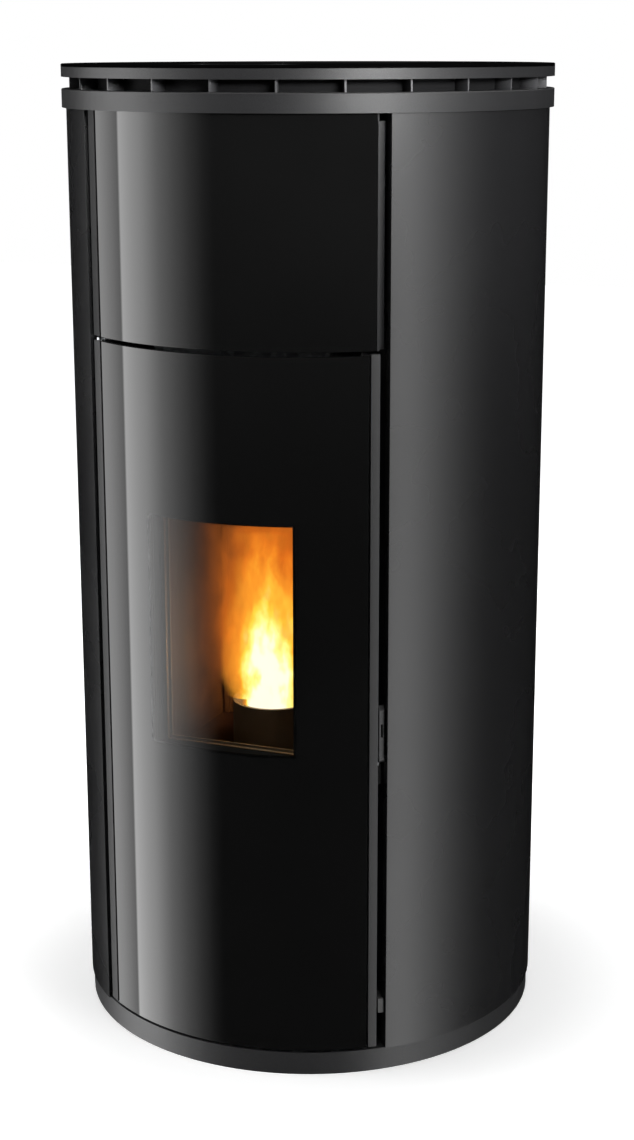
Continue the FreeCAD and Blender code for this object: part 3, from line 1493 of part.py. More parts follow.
def control_board():
    """Circuit board on stand-offs inside the rear panel, with its larger components."""
    left = board_side - board_half_width
    right = board_side + board_half_width
    back = rear_inner - board_stand
    front = back - board_sheet
    top = board_bottom + board_height
    board = block(left, right, front, back, board_bottom, top)
    pieces = []
    for x in (left + board_stand_inset, right - board_stand_inset):
        for z in (board_bottom + board_stand_inset, top - board_stand_inset):
            pieces.append(rod(board_stand_radius, V(x, back, z), V(x, rear_inner, z)))
    for x_share, z_share, width_share, height_share in board_part_shares:
        x = left + (right - left) * x_share
        z = board_bottom + board_height * z_share
        half_x = board_half_width * width_share
        half_z = board_height * height_share / 2
        pieces.append(block(x - half_x, x + half_x, front - board_part_height, front,
                            z - half_z, z + half_z))
    return board.fuse(pieces).removeSplitter()


def switch_centre():
    return V(inlet_side + switch_offset, rear_face, inlet_height)


def power_inlet():
    """Mains socket and switch housing in the rear panel."""
    body = block(inlet_side - inlet_half_width, inlet_side + inlet_half_width,
                 rear_face - inlet_depth, rear_face,
                 inlet_height - inlet_half_height, inlet_height + inlet_half_height)
    flange = block(inlet_side - inlet_half_width - inlet_lip, inlet_side + inlet_half_width + inlet_lip,
                   rear_face, rear_face + inlet_flange, inlet_height - inlet_half_height - inlet_lip,
                   inlet_height + inlet_half_height + inlet_lip)
    outer = rear_face + inlet_flange
    socket_x = inlet_side - inlet_socket_offset
    socket = block(socket_x - inlet_socket_half_width, socket_x + inlet_socket_half_width,
                   outer - inlet_socket_depth, outer + overrun, inlet_height - inlet_socket_half_height,
                   inlet_height + inlet_socket_half_height)
    centre = switch_centre()
    well_half_width = switch_half_width + slide_clearance
    well_half_height = switch_half_height + switch_room
    well = block(centre.x - well_half_width, centre.x + well_half_width,
                 outer - switch_depth - switch_room, outer + overrun,
                 inlet_height - well_half_height, inlet_height + well_half_height)
    housing = body.fuse(flange).removeSplitter().cut(socket).cut(well)
    blades = []
    for i in (-1, 0, 1):
        x = socket_x + i * inlet_blade_pitch
        blades.append(block(x - inlet_blade / 2, x + inlet_blade / 2, outer - inlet_socket_depth,
                            outer - inlet_flange, inlet_height - inlet_blade, inlet_height + inlet_blade))
    pin_half = switch_half_width + 2 * slide_clearance
    pin_back = outer - switch_depth / 2
    pin = rod(switch_pin_radius, V(centre.x - pin_half, pin_back, centre.z),
              V(centre.x + pin_half, pin_back, centre.z))
    return housing.fuse(blades + [pin]).removeSplitter()


def power_switch():
    """Rocker that tips on a level pin."""
    centre = switch_centre()
    outer = rear_face + inlet_flange
    pin_back = outer - switch_depth / 2
    rocker = block(centre.x - switch_half_width, centre.x + switch_half_width,
                   pin_back - switch_depth * switch_inner_share, outer + switch_proud,
                   centre.z - switch_half_height, centre.z + switch_half_height)
    bore = rod(switch_pin_radius + pin_clearance, V(centre.x - overrun, pin_back, centre.z),
               V(centre.x + overrun, pin_back, centre.z))
    return rocker.cut(bore)


def lower_front_cover():
    """Folded sheet that closes the machine room under the fire."""
    top = jacket_bottom - front_plate_drop - cover_top_gap
    front = block(-cover_half_width, cover_half_width, -cover_depth, -cover_depth + cover_sheet,
                  plinth_height, top)
    side = block(cover_half_width - cover_sheet, cover_half_width, -cover_depth, 0, plinth_height, top)
    post_room = Part.makeCylinder(post_radius + post_sheet + seat_gap, stove_height)
    side = side.cut(post_room)
    return front.fuse([side, mirrored(side)]).removeSplitter()


def build():
    """Every piece by name."""
    pieces = {
        "plinth_ring": plinth_ring(),
        "base_plate": base_plate(),
        "levelling_feet": levelling_feet(),
        "front_posts": front_posts(),
        "right_side_panel": right_side_panel(),
        "left_side_panel": mirrored(right_side_panel()),
        "rear_panel": rear_panel(),
        "service_plate": service_plate(),
        "rear_screws": rear_screws(),
        "crown_ring": crown_ring(),
        "vent_grille": vent_grille(),
        "top_plate": top_plate(),
        "upper_frame": upper_frame(),
        "upper_glass": upper_glass(),
        "lower_front_cover": lower_front_cover(),
        "door_hinges": Part.makeCompound([upper_hinge(), lower_hinge()]),
        "latch_strike": latch_strike(),
        "firebox": firebox(),
        "ash_box": ash_box(),
        "firebox_front": firebox_front(),
        "fire_back_plate": fire_back_plate(),
        "water_jacket": water_jacket(),
        "smoke_duct": smoke_duct(),
        "ash_drawer": ash_drawer(),
        "igniter": igniter(),
        "hopper": hopper(),
        "lid_hinges": lid_hinges(),
        "auger_tube": auger_tube(),
        "auger_gearmotor": auger_gearmotor(),
        "feed_chute": feed_chute(),
        "fan_housing": Part.makeCompound([fan_housing(), fan_motor()]),
        "flue_spigot": flue_spigot(),
        "air_intake_pipe": air_intake_pipe(),
        "expansion_vessel": expansion_vessel(),
        "circulation_pump": circulation_pump(),
        "return_connector": return_connector(),
        "return_pipe": return_pipe(),
        "flow_pipe": flow_pipe(),
        "control_board": control_board(),
        "control_bezel": control_bezel(),
        "display_window": display_window(),
        "power_inlet": power_inlet(),
        "door_frame": door_frame(),
        "door_glass": door_glass(),
        "door_print": door_print(),
        "fire_door_leaf": fire_door_leaf(),
        "fire_glass": fire_glass(),
        "glass_retainer": glass_retainer(),
        "door_gasket": door_gasket(),
        "latch_pin": latch_pin(),
        "latch_handle": latch_handle(),
        "hopper_lid": hopper_lid(),
        "lid_seal": lid_seal(),
        "burn_pot": burn_pot(),
        "auger_screw": auger_screw(),
        "fan_impeller": fan_impeller(),
        "power_switch": power_switch(),
    }
    for name, place in button_places().items():
        pieces[name] = push_button(place)
    return pieces


os.makedirs("parts", exist_ok=True)
for name, shape in build().items():
    shape.exportStep("parts/" + name + ".step")
    state = "valid" if shape.isValid() else "NOT VALID"
    print(name, len(shape.Solids), "solid", round(shape.Volume), "mm3", state)
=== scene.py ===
# %% [markdown]
# A round pellet stove in black powder coat, with a full-height curved glass door and a fire behind it.
# The solids come ready-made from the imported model, in metres, front towards -Y. This lesson lights them,
# gives every surface its finish, and models what only the eye needs: the fire and the glowing pellets.

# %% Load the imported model
import math
import random
import bpy
from mathutils import Matrix, Vector


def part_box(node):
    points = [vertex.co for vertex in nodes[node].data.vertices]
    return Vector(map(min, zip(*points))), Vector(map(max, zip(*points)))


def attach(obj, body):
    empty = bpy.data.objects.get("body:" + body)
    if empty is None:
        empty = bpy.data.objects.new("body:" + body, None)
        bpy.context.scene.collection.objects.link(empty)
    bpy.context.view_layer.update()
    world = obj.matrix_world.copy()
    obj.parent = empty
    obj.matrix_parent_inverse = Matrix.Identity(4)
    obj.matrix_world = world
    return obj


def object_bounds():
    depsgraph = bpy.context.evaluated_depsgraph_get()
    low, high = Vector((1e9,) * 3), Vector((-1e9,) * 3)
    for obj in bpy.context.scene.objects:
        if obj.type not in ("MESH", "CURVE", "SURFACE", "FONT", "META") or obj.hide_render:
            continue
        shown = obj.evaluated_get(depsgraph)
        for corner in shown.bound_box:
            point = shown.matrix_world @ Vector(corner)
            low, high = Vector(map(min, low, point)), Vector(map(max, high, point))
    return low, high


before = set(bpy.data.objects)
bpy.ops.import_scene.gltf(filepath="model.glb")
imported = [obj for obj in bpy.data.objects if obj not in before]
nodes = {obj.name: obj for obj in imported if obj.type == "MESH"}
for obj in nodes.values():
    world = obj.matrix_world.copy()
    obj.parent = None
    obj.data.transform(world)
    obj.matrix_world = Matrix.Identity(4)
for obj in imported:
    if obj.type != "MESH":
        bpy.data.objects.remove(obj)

cad_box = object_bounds()
bpy.ops.object.select_all(action="DESELECT")
print("loaded", len(nodes), "nodes, box", [[round(c, 4) for c in corner] for corner in cad_box])

# %% [markdown]
# The camera stands a little above the stove's top, turned to its right, and looks slightly down. It could
# be placed by eye, but a round object shows every small error in its curved edges. So the height,
# distance and lens were fitted to the edges of the rings, and the outline falls in place.

# %% Camera
camera_turn = math.radians(21.9)
camera_heading = math.radians(21.6792)
camera_pitch = math.radians(14.298)
camera_roll = math.radians(-0.0974)
camera_distance = 2.5417
camera_height = 1.2025
focal_length_px = 2056.0
picture_height_px = 1140.0
sensor_mm = 36.0
bpy.ops.object.camera_add()
camera = bpy.context.object
camera.name = "photo_camera"
camera.data.lens = focal_length_px * sensor_mm / picture_height_px
camera.data.sensor_width = sensor_mm
camera.matrix_world = (
    Matrix.Translation((camera_distance * math.sin(camera_turn),
                        -camera_distance * math.cos(camera_turn), camera_height))
    @ Matrix.Rotation(camera_heading, 4, "Z")
    @ Matrix.Rotation(math.pi / 2 - camera_pitch, 4, "X")
    @ Matrix.Rotation(camera_roll, 4, "Z"))
bpy.context.scene.camera = camera
bpy.context.scene.view_settings.view_transform = "Standard"
print("camera at", [round(c, 3) for c in camera.location], "lens", round(camera.data.lens, 2), "mm")

# %% [markdown]
# Finishes are built from nodes. Adding, setting and joining a node by hand takes several lines each time,
# so one small function does all three and gives back the node's outputs. Sockets go by name, or by number
# where a name would be long or comes twice: a Map Range node takes its value at 0, the range it comes
# from at 1 and 2 and the range it goes to at 3 and 4, and a Mix node takes its share at 0, two colours at
# 6 and 7, and gives the colour at 2. Another function turns a hex colour, as a paint chart gives it, into
# Blender's linear numbers. A finish then replaces what the solids came with. Noise runs from 0 to 1 but
# keeps mostly to the middle, so it is stretched from there.

# %% Colours, nodes and finishes
noise_low = 0.3
noise_high = 0.7
grain_low = 0.35
grain_high = 0.65


def linear(hex_colour):
    channels = [int(hex_colour[i:i + 2], 16) / 255 for i in (1, 3, 5)]
    return tuple(c / 12.92 if c < 0.04045 else ((c + 0.055) / 1.055) ** 2.4 for c in channels) + (1.0,)


def add_node(tree, kind, inputs=None, **settings):
    node = tree.nodes.new("ShaderNode" + kind)
    for name, value in settings.items():
        setattr(node, name, value)
    for socket, value in (inputs or {}).items():
        if isinstance(value, bpy.types.NodeSocket):
            tree.links.new(value, node.inputs[socket])
        else:
            node.inputs[socket].default_value = value
    return node.outputs


def new_material(name):
    material = bpy.data.materials.new(name)
    material.use_nodes = True
    material.node_tree.nodes.clear()
    return material, material.node_tree


def finish_nodes(material, names):
    for name in names:
        nodes[name].data.materials.clear()
        nodes[name].data.materials.append(material)
    print(material.name, "on", len(names), "nodes")


print("a mid grey is", round(linear("#808080")[0], 3), "in linear numbers")

# %% [markdown]
# The cabinet is sheet steel in a fine-textured black powder coat. The powder melts into small rounded
# grains, so the surface is an even dark grey with a soft sheen. A picture of the grain would need
# unwrapped panels; noise on object coordinates needs none and keeps its size on every panel. The real
# grain is near half a millimetre; here it is drawn at about a millimetre so that it still shows from two
# and a half metres away. The sheen drifts slowly, over some 140 mm, as a sprayed coat's does. A mask may
# turn part of a coat black.

# %% Powder coat of the cabinet
coat_drift_mm = 143
coat_ior = 1.5
dead_black_ior = 1.02


def powder_coat(name, dark, light, grain_mm, roughness, gloss=0.5, black_part=None):
    material, tree = new_material(name)
    place = add_node(tree, "TexCoord")["Object"]
    grain = add_node(tree, "TexNoise", {"Vector": place, "Scale": 1000 / grain_mm})["Fac"]
    share = add_node(tree, "MapRange", {0: grain, 1: grain_low, 2: grain_high})[0]
    colour = add_node(tree, "Mix", {0: share, 6: linear(dark), 7: linear(light)}, data_type="RGBA")[2]
    ior = coat_ior
    if black_part:
        black = black_part(tree, place)
        colour = add_node(tree, "Mix", {0: black, 6: colour, 7: linear("#040404")}, data_type="RGBA")[2]
        ior = add_node(tree, "MapRange", {0: black, 3: coat_ior, 4: dead_black_ior})[0]
    drift = add_node(tree, "TexNoise", {"Vector": place, "Scale": 1000 / coat_drift_mm,
                                        "Detail": 3.0})["Fac"]
    rough = add_node(tree, "MapRange", {0: drift, 1: noise_low, 2: noise_high,
                                        3: roughness - 0.02, 4: roughness + 0.02})[0]
    bump = add_node(tree, "Bump", {"Strength": 0.25, "Distance": 0.0003, "Height": grain})[0]
    coat = add_node(tree, "BsdfPrincipled", {"Base Color": colour, "Roughness": rough, "IOR": ior,
                                             "Specular IOR Level": gloss, "Normal": bump})[0]
    add_node(tree, "OutputMaterial", {"Surface": coat})
    return material


black_coat = powder_coat("black_powder_coat", "#151516", "#1d1d1e", 1.1, 0.27)
finish_nodes(black_coat, ["right_side_panel", "left_side_panel"])
inner_coat = powder_coat("dark_inner_coat", "#121213", "#1a1a1b", 1.1, 0.55)
finish_nodes(inner_coat, ["lower_front_cover", "front_posts", "rear_panel", "service_plate"])

# %% [markdown]
# The rings, the plinth, the lid and the trim round the glass wear the same kind of coat. They could share
# one material, but on the real stove each shines in its own way: the rings are satin, the lid and the
# frame of the upper pane are matt. So each gets its own greys, roughness and gloss from the one recipe.
# The plinth is the same satin coat as the rings, but its grey is lighter. That difference is painted light,
# standing in for the softbox light that reaches the rings alone.

# %% Coats of rings, lid and trim
ring_coat = powder_coat("satin_grey_ring_coat", "#1d1d1e", "#272728", 1.1, 0.39, 0.42)
finish_nodes(ring_coat, ["crown_ring"])
# The plinth's grey is lighter than the ring coat's. This is painted light for the softbox light that the
# plinth doesn't get.
plinth_coat_painted_lighter = powder_coat("satin_grey_plinth_painted_light_coat", "#272728", "#333334", 1.1, 0.4, 0.45)
finish_nodes(plinth_coat_painted_lighter, ["plinth_ring"])
lid_coat = powder_coat("matt_black_lid_coat", "#050505", "#0a0a0a", 1.1, 0.5, 0.01)
finish_nodes(lid_coat, ["hopper_lid"])
trim_coat = powder_coat("satin_black_trim_coat", "#1b1b1c", "#242425", 0.9, 0.34)
finish_nodes(trim_coat, ["door_frame", "latch_handle"])
frame_coat = powder_coat("matt_black_frame_coat", "#1b1b1c", "#242425", 0.9, 0.34, 0.2)
finish_nodes(frame_coat, ["upper_frame"])

# %% [markdown]
# The top plate carries a black layer on its grey rim. The vent's coat is a mid grey, lighter than the
# rings', which is a painted highlight on the lit front edges of its fins. It turns black towards the wall
# behind the fins, which is painted shade in the recess under the plate. They could be cut into pieces of two
# colours, but each is one piece on the real stove. A mask on object coordinates says where the coat turns
# black: above a height on the plate, and inside a radius on the vent, where the painted shade deepens from
# the fin tips in to the wall.

# %% Coats of the top plate and the vent
top_layer_depth = 0.0035
# Between these radii the vent's painted shade grows from nothing at the fin tips to its full strength at the
# wall.
fin_root = 0.266
fin_tip = 0.284
painted_shade_strength = 0.85


def top_layer(tree, place):
    up = add_node(tree, "SeparateXYZ", {0: place})[2]
    return add_node(tree, "Math", {0: up, 1: cad_box[1][2] - top_layer_depth}, operation="GREATER_THAN")[0]


# Painted shade: the vent darkens from the fin tips in to the wall behind the fins, where little light
# reaches.
def painted_shade_behind_fins(tree, place):
    level = add_node(tree, "VectorMath", {0: place, 1: (1.0, 1.0, 0.0)}, operation="MULTIPLY")[0]
    reach = add_node(tree, "VectorMath", {0: level}, operation="LENGTH")[1]
    return add_node(tree, "MapRange", {0: reach, 1: fin_root, 2: fin_tip, 3: painted_shade_strength, 4: 0.0})[0]


top_coat = powder_coat("satin_grey_top_coat", "#1d1d1e", "#272728", 1.1, 0.39, 0.42, top_layer)
finish_nodes(top_coat, ["top_plate"])
# The vent's light grey is a painted highlight on the fin tips, and its black between the fins is painted
# shade.
vent_coat_painted_light = powder_coat("vent_coat_painted_highlight_and_shade", "#454547", "#525254", 1.1, 0.5, 0.8, painted_shade_behind_fins)
finish_nodes(vent_coat_painted_light, ["vent_grille"])

# %% [markdown]
# The flat pane before the fire is clear glass ceramic. Real refraction would hold back the fire's light
# and leave grain in the picture. A clear and a mirror shader, mixed by the Fresnel law, show what is
# behind the pane and mirror a little, more at a grazing angle, and they let the light out. Only the outer
# side mirrors. The faint waviness of rolled glass, some 250 mm wide, changes the mirror's sharpness.

# %% Clear fire glass
glass_wave_mm = 250


def clear_glass(tree, place, ior, tint):
    wave = add_node(tree, "TexNoise", {"Vector": place, "Scale": 1000 / glass_wave_mm, "Detail": 1.0})["Fac"]
    rough = add_node(tree, "MapRange", {0: wave, 1: noise_low, 2: noise_high, 3: 0.004, 4: 0.012})[0]
    mirror = add_node(tree, "BsdfGlossy", {"Color": linear("#ffffff"), "Roughness": rough})[0]
    through = add_node(tree, "BsdfTransparent", {"Color": linear(tint)})[0]
    edge = add_node(tree, "Fresnel", {"IOR": ior})[0]
    inner_side = add_node(tree, "NewGeometry")["Backfacing"]
    outer_side = add_node(tree, "Math", {0: 1.0, 1: inner_side}, operation="SUBTRACT")[0]
    share = add_node(tree, "Math", {0: edge, 1: outer_side}, operation="MULTIPLY")[0]
    return add_node(tree, "MixShader", {0: share, 1: through, 2: mirror})[0]


fire_pane, tree = new_material("ceramic_fire_glass")
place = add_node(tree, "TexCoord")["Object"]
add_node(tree, "OutputMaterial", {"Surface": clear_glass(tree, place, 1.53, "#fbf6ee")})
finish_nodes(fire_pane, ["fire_glass"])

# %% [markdown]
# The upper pane is black behind all over, so the eye sees a black gloss with the studio in it. Two layers
# could show that, but one glossy black shader looks the same and renders cleanly. The sheet behind the
# door's glass is a fired enamel print, dull and black. Clouds some 110 mm wide keep both from looking too
# even.

# %% Black-backed glass and fired print
glass_cloud_mm = 111


def black_glass(tree, place, ior, dark, light, roughness):
    cloud = add_node(tree, "TexNoise", {"Vector": place, "Scale": 1000 / glass_cloud_mm,
                                        "Detail": 3.0})["Fac"]
    colour = add_node(tree, "Mix", {0: cloud, 6: linear(dark), 7: linear(light)}, data_type="RGBA")[2]
    rough = add_node(tree, "MapRange", {0: cloud, 1: noise_low, 2: noise_high,
                                        3: roughness, 4: roughness + 0.02})[0]
    return add_node(tree, "BsdfPrincipled", {"Base Color": colour, "IOR": ior, "Roughness": rough})[0]


def black_pane(name, ior, dark, light, roughness):
    material, tree = new_material(name)
    place = add_node(tree, "TexCoord")["Object"]
    black = black_glass(tree, place, ior, dark, light, roughness)
    add_node(tree, "OutputMaterial", {"Surface": black})
    return material


upper_pane = black_pane("black_backed_glass", 1.5, "#0f0f0f", "#131313", 0.02)
finish_nodes(upper_pane, ["upper_glass"])
fired_print = black_pane("fired_black_print", 1.1, "#1d1d1d", "#212121", 0.5)
finish_nodes(fired_print, ["door_print"])

# %% [markdown]
# The door is one curved pane, printed black behind except at the window. It could be made of two pieces,
# but a seam would show in its reflections. One material with a mask keeps the pane whole. The mask goes
# by the angle round the cabinet and by the height, and it fades over a few millimetres.

# %% Door glass with its window
window_middle = 0.540
window_half_height = 0.1365
window_half_angle = math.radians(18.2)
print_fade_height = 0.0025
print_fade_angle = math.radians(0.8)


def window_part(tree, place):
    across, along, up = add_node(tree, "SeparateXYZ", {0: place})
    forward = add_node(tree, "Math", {0: along, 1: -1.0}, operation="MULTIPLY")[0]
    turn = add_node(tree, "Math", {0: across, 1: forward}, operation="ARCTAN2")[0]
    off_front = add_node(tree, "Math", {0: turn}, operation="ABSOLUTE")[0]
    sideways = add_node(tree, "MapRange", {0: off_front, 1: window_half_angle,
                                           2: window_half_angle + print_fade_angle, 3: 1.0, 4: 0.0})[0]
    above = add_node(tree, "Math", {0: up, 1: window_middle}, operation="SUBTRACT")[0]
    off_middle = add_node(tree, "Math", {0: above}, operation="ABSOLUTE")[0]
    upright = add_node(tree, "MapRange", {0: off_middle, 1: window_half_height,
                                          2: window_half_height + print_fade_height, 3: 1.0, 4: 0.0})[0]
    return add_node(tree, "Math", {0: sideways, 1: upright}, operation="MULTIPLY")[0]


door_pane, tree = new_material("printed_door_glass")
place = add_node(tree, "TexCoord")["Object"]
clear = clear_glass(tree, place, 1.5, "#f4f6f5")
black = black_glass(tree, place, 1.5, "#111111", "#141414", 0.005)
both = add_node(tree, "MixShader", {0: window_part(tree, place), 1: black, 2: clear})[0]
add_node(tree, "OutputMaterial", {"Surface": both})
finish_nodes(door_pane, ["door_glass"])

# %% [markdown]
# Castings near the fire are rough grey iron, dusted with brown ash at the back and darkened by soot
# towards the mouth. The sand of the mould leaves grains of about two millimetres. They could be displaced
# in the mesh, but at that size a bump looks the same. Stains are wider, some 55 mm, and soot follows the
# firebox's depth.

# %% Cast iron and boiler plate
stain_mm = 55.5
soot_front = -0.15
soot_back = -0.06


def cast_surface(name, dark, light, grain_mm, roughness, metal, soot=None):
    material, tree = new_material(name)
    place = add_node(tree, "TexCoord")["Object"]
    grain = add_node(tree, "TexNoise", {"Vector": place, "Scale": 1000 / grain_mm, "Detail": 4.0})["Fac"]
    dust = add_node(tree, "TexNoise", {"Vector": place, "Scale": 1000 / stain_mm, "Detail": 5.0})["Fac"]
    stain = add_node(tree, "MapRange", {0: dust, 1: grain_low, 2: grain_high})[0]
    colour = add_node(tree, "Mix", {0: stain, 6: linear(dark), 7: linear(light)}, data_type="RGBA")[2]
    if soot:
        along = add_node(tree, "SeparateXYZ", {0: place})[1]
        near_mouth = add_node(tree, "MapRange", {0: along, 1: soot_front, 2: soot_back, 3: 1.0, 4: 0.0})[0]
        colour = add_node(tree, "Mix", {0: near_mouth, 6: colour, 7: linear(soot)}, data_type="RGBA")[2]
    rough = add_node(tree, "MapRange", {0: grain, 1: noise_low, 2: noise_high,
                                        3: roughness - 0.08, 4: roughness + 0.08})[0]
    bump = add_node(tree, "Bump", {"Strength": 0.5, "Distance": 0.0006, "Height": grain})[0]
    iron = add_node(tree, "BsdfPrincipled", {"Base Color": colour, "Metallic": metal, "Roughness": rough,
                                             "Normal": bump})[0]
    add_node(tree, "OutputMaterial", {"Surface": iron})
    return material


sand_iron = cast_surface("sand_cast_iron", "#1b1a19", "#2b2927", 2.0, 0.62, 0.0)
finish_nodes(sand_iron, ["fire_door_leaf", "circulation_pump"])
sooty_iron = cast_surface("sooty_cast_iron", "#3a2c20", "#5e4835", 2.5, 0.8, 0.0, "#0d0b09")
finish_nodes(sooty_iron, ["firebox", "ash_box", "firebox_front"])
ashy_iron = cast_surface("ash_dusted_iron", "#33281e", "#54412f", 2.5, 0.8, 0.0)
finish_nodes(ashy_iron, ["fire_back_plate"])
# The burn pot's own iron is dark brown-black. Its pale blue-grey here is painted fill light, standing in for
# studio light that doesn't reach into the firebox, and the blue cancels the orange of the fire lamp.
pot_iron_painted_fill = cast_surface("pot_iron_painted_fill_light", "#5c5e62", "#6e7074", 1.6, 0.6, 0.0)
finish_nodes(pot_iron_painted_fill, ["burn_pot"])
boiler = cast_surface("boiler_plate_steel", "#2e2c2a", "#3d3936", 3.0, 0.6, 0.3)
finish_nodes(boiler, ["water_jacket"])

# %% [markdown]
# Hidden sheet work is zinc-coated steel. Its zinc freezes into crystals, the spangle, about a centimetre
# across, each mirroring a little differently. Noise would give soft clouds; Voronoi cells have the
# crystals' straight edges, so their random tones set colour and roughness. Machined pins and screws are
# bright zinc.

# %% Zinc-coated sheet and bright zinc


def zinc(name, dark, light, spangle_mm, roughness):
    material, tree = new_material(name)
    place = add_node(tree, "TexCoord")["Object"]
    cells = add_node(tree, "TexVoronoi", {"Vector": place, "Scale": 1000 / spangle_mm})["Color"]
    tone = add_node(tree, "SeparateColor", {0: cells})[0]
    colour = add_node(tree, "Mix", {0: tone, 6: linear(dark), 7: linear(light)}, data_type="RGBA")[2]
    rough = add_node(tree, "MapRange", {0: tone, 3: roughness, 4: roughness + 0.14})[0]
    metal = add_node(tree, "BsdfPrincipled", {"Base Color": colour, "Metallic": 1.0, "Roughness": rough})[0]
    add_node(tree, "OutputMaterial", {"Surface": metal})
    return material


zinc_sheet = zinc("zinc_coated_sheet", "#8d9093", "#b9bcbe", 11.0, 0.34)
finish_nodes(zinc_sheet, ["base_plate", "smoke_duct", "hopper", "auger_tube", "feed_chute", "fan_housing",
                          "ash_drawer", "flue_spigot", "air_intake_pipe"])
bright_zinc = zinc("bright_zinc_plate", "#a2a4a6", "#c4c6c8", 1.5, 0.26)
finish_nodes(bright_zinc, ["rear_screws", "lid_hinges", "door_hinges", "latch_pin", "igniter",
                           "auger_screw", "fan_impeller"])

# %% [markdown]
# The heating water runs in drawn brass, dulled by handling. One even colour would look like new plate, so
# clouds of tarnish, some 33 mm wide, change the colour and the shine together.

# %% Brass of the water pipes
tarnish_mm = 33.3
brass, tree = new_material("drawn_brass")
place = add_node(tree, "TexCoord")["Object"]
tarnish = add_node(tree, "TexNoise", {"Vector": place, "Scale": 1000 / tarnish_mm, "Detail": 5.0})["Fac"]
colour = add_node(tree, "Mix", {0: tarnish, 6: linear("#8a6a3c"), 7: linear("#c9a869")},
                  data_type="RGBA")[2]
rough = add_node(tree, "MapRange", {0: tarnish, 1: noise_low, 2: noise_high, 3: 0.28, 4: 0.42})[0]
metal = add_node(tree, "BsdfPrincipled", {"Base Color": colour, "Metallic": 1.0, "Roughness": rough})[0]
add_node(tree, "OutputMaterial", {"Surface": metal})
finish_nodes(brass, ["return_connector", "return_pipe", "flow_pipe"])

# %% [markdown]
# The expansion vessel is sprayed red, with the orange-peel of a wet coat, about 4 mm wide. The feed motor
# has a plain grey paint, and the latch strike and the retainer of the fire glass are phosphated steel.
# Each is a thin grainy layer on metal, so the powder coat's recipe serves, with other colours and grains.

# %% Vessel paint, motor paint and phosphated steel
vessel_red = powder_coat("red_vessel_paint", "#a51d17", "#b3241c", 4.0, 0.3)
finish_nodes(vessel_red, ["expansion_vessel"])
steel_grey = powder_coat("phosphated_steel", "#545454", "#5e5e5d", 1.5, 0.6, 0.3)
finish_nodes(steel_grey, ["latch_strike", "glass_retainer"])
motor_grey = powder_coat("grey_motor_paint", "#4b4d50", "#56585b", 2.0, 0.45)
finish_nodes(motor_grey, ["auger_gearmotor"])

# %% [markdown]
# The door and the lid close on braided glass-fibre rope. Its strands could be modelled one by one, but
# the rope lies in a groove and shows only when the door is open. Two crossed waves, one along each way of
# the plait, draw strands of about three millimetres. A wave texture of scale 1 repeats every pi / 10
# metres.

# %% Braided rope
strand_mm = 3.14
plait_degrees = 35
plait_lean = 0.4
rope, tree = new_material("braided_glass_rope")
place = add_node(tree, "TexCoord")["Object"]
waves = []
for degrees in (plait_degrees, -plait_degrees):
    turned = add_node(tree, "Mapping", {"Vector": place,
                                        "Rotation": (0, math.radians(degrees), plait_lean)})[0]
    wave = add_node(tree, "TexWave", {"Vector": turned, "Scale": 100 * math.pi / (2 * strand_mm),
                                      "Distortion": 1.0, "Detail": 2.0})["Fac"]
    waves.append(wave)
plait = add_node(tree, "Math", {0: waves[0], 1: waves[1]}, operation="MULTIPLY")[0]
colour = add_node(tree, "Mix", {0: plait, 6: linear("#3a3936"), 7: linear("#6a6862")}, data_type="RGBA")[2]
bump = add_node(tree, "Bump", {"Strength": 0.6, "Distance": 0.001, "Height": plait})[0]
fibre = add_node(tree, "BsdfPrincipled", {"Base Color": colour, "Roughness": 0.9, "Normal": bump})[0]
add_node(tree, "OutputMaterial", {"Surface": fibre})
finish_nodes(rope, ["door_gasket", "lid_seal"])

# %% [markdown]
# Controls are moulded ABS with a fine spark-eroded grain, and the feet are moulded rubber, coarser and
# dull. Plain colours would look like bare renders, so both take the grain of the powder coat's recipe.

# %% Moulded plastic and rubber
black_abs = powder_coat("black_abs", "#101011", "#161617", 0.8, 0.5, 0.03)
finish_nodes(black_abs, ["control_bezel", "power_inlet", "power_switch"])
foot_rubber = powder_coat("moulded_foot_rubber", "#0f0f0f", "#171716", 3.0, 0.85)
finish_nodes(foot_rubber, ["levelling_feet"])

# %% [markdown]
# Each key carries a plain sign, printed on the real one: a ring with a bar for power, a cross for more
# and a bar for less. A mesh would stand proud of the key, so the sign is drawn by distances from the
# key's own centre: a bar is a short distance both ways, and a ring is one distance all round.

# %% Signs on the keys
key_grain_mm = 0.83
ring_half_width = 0.0003


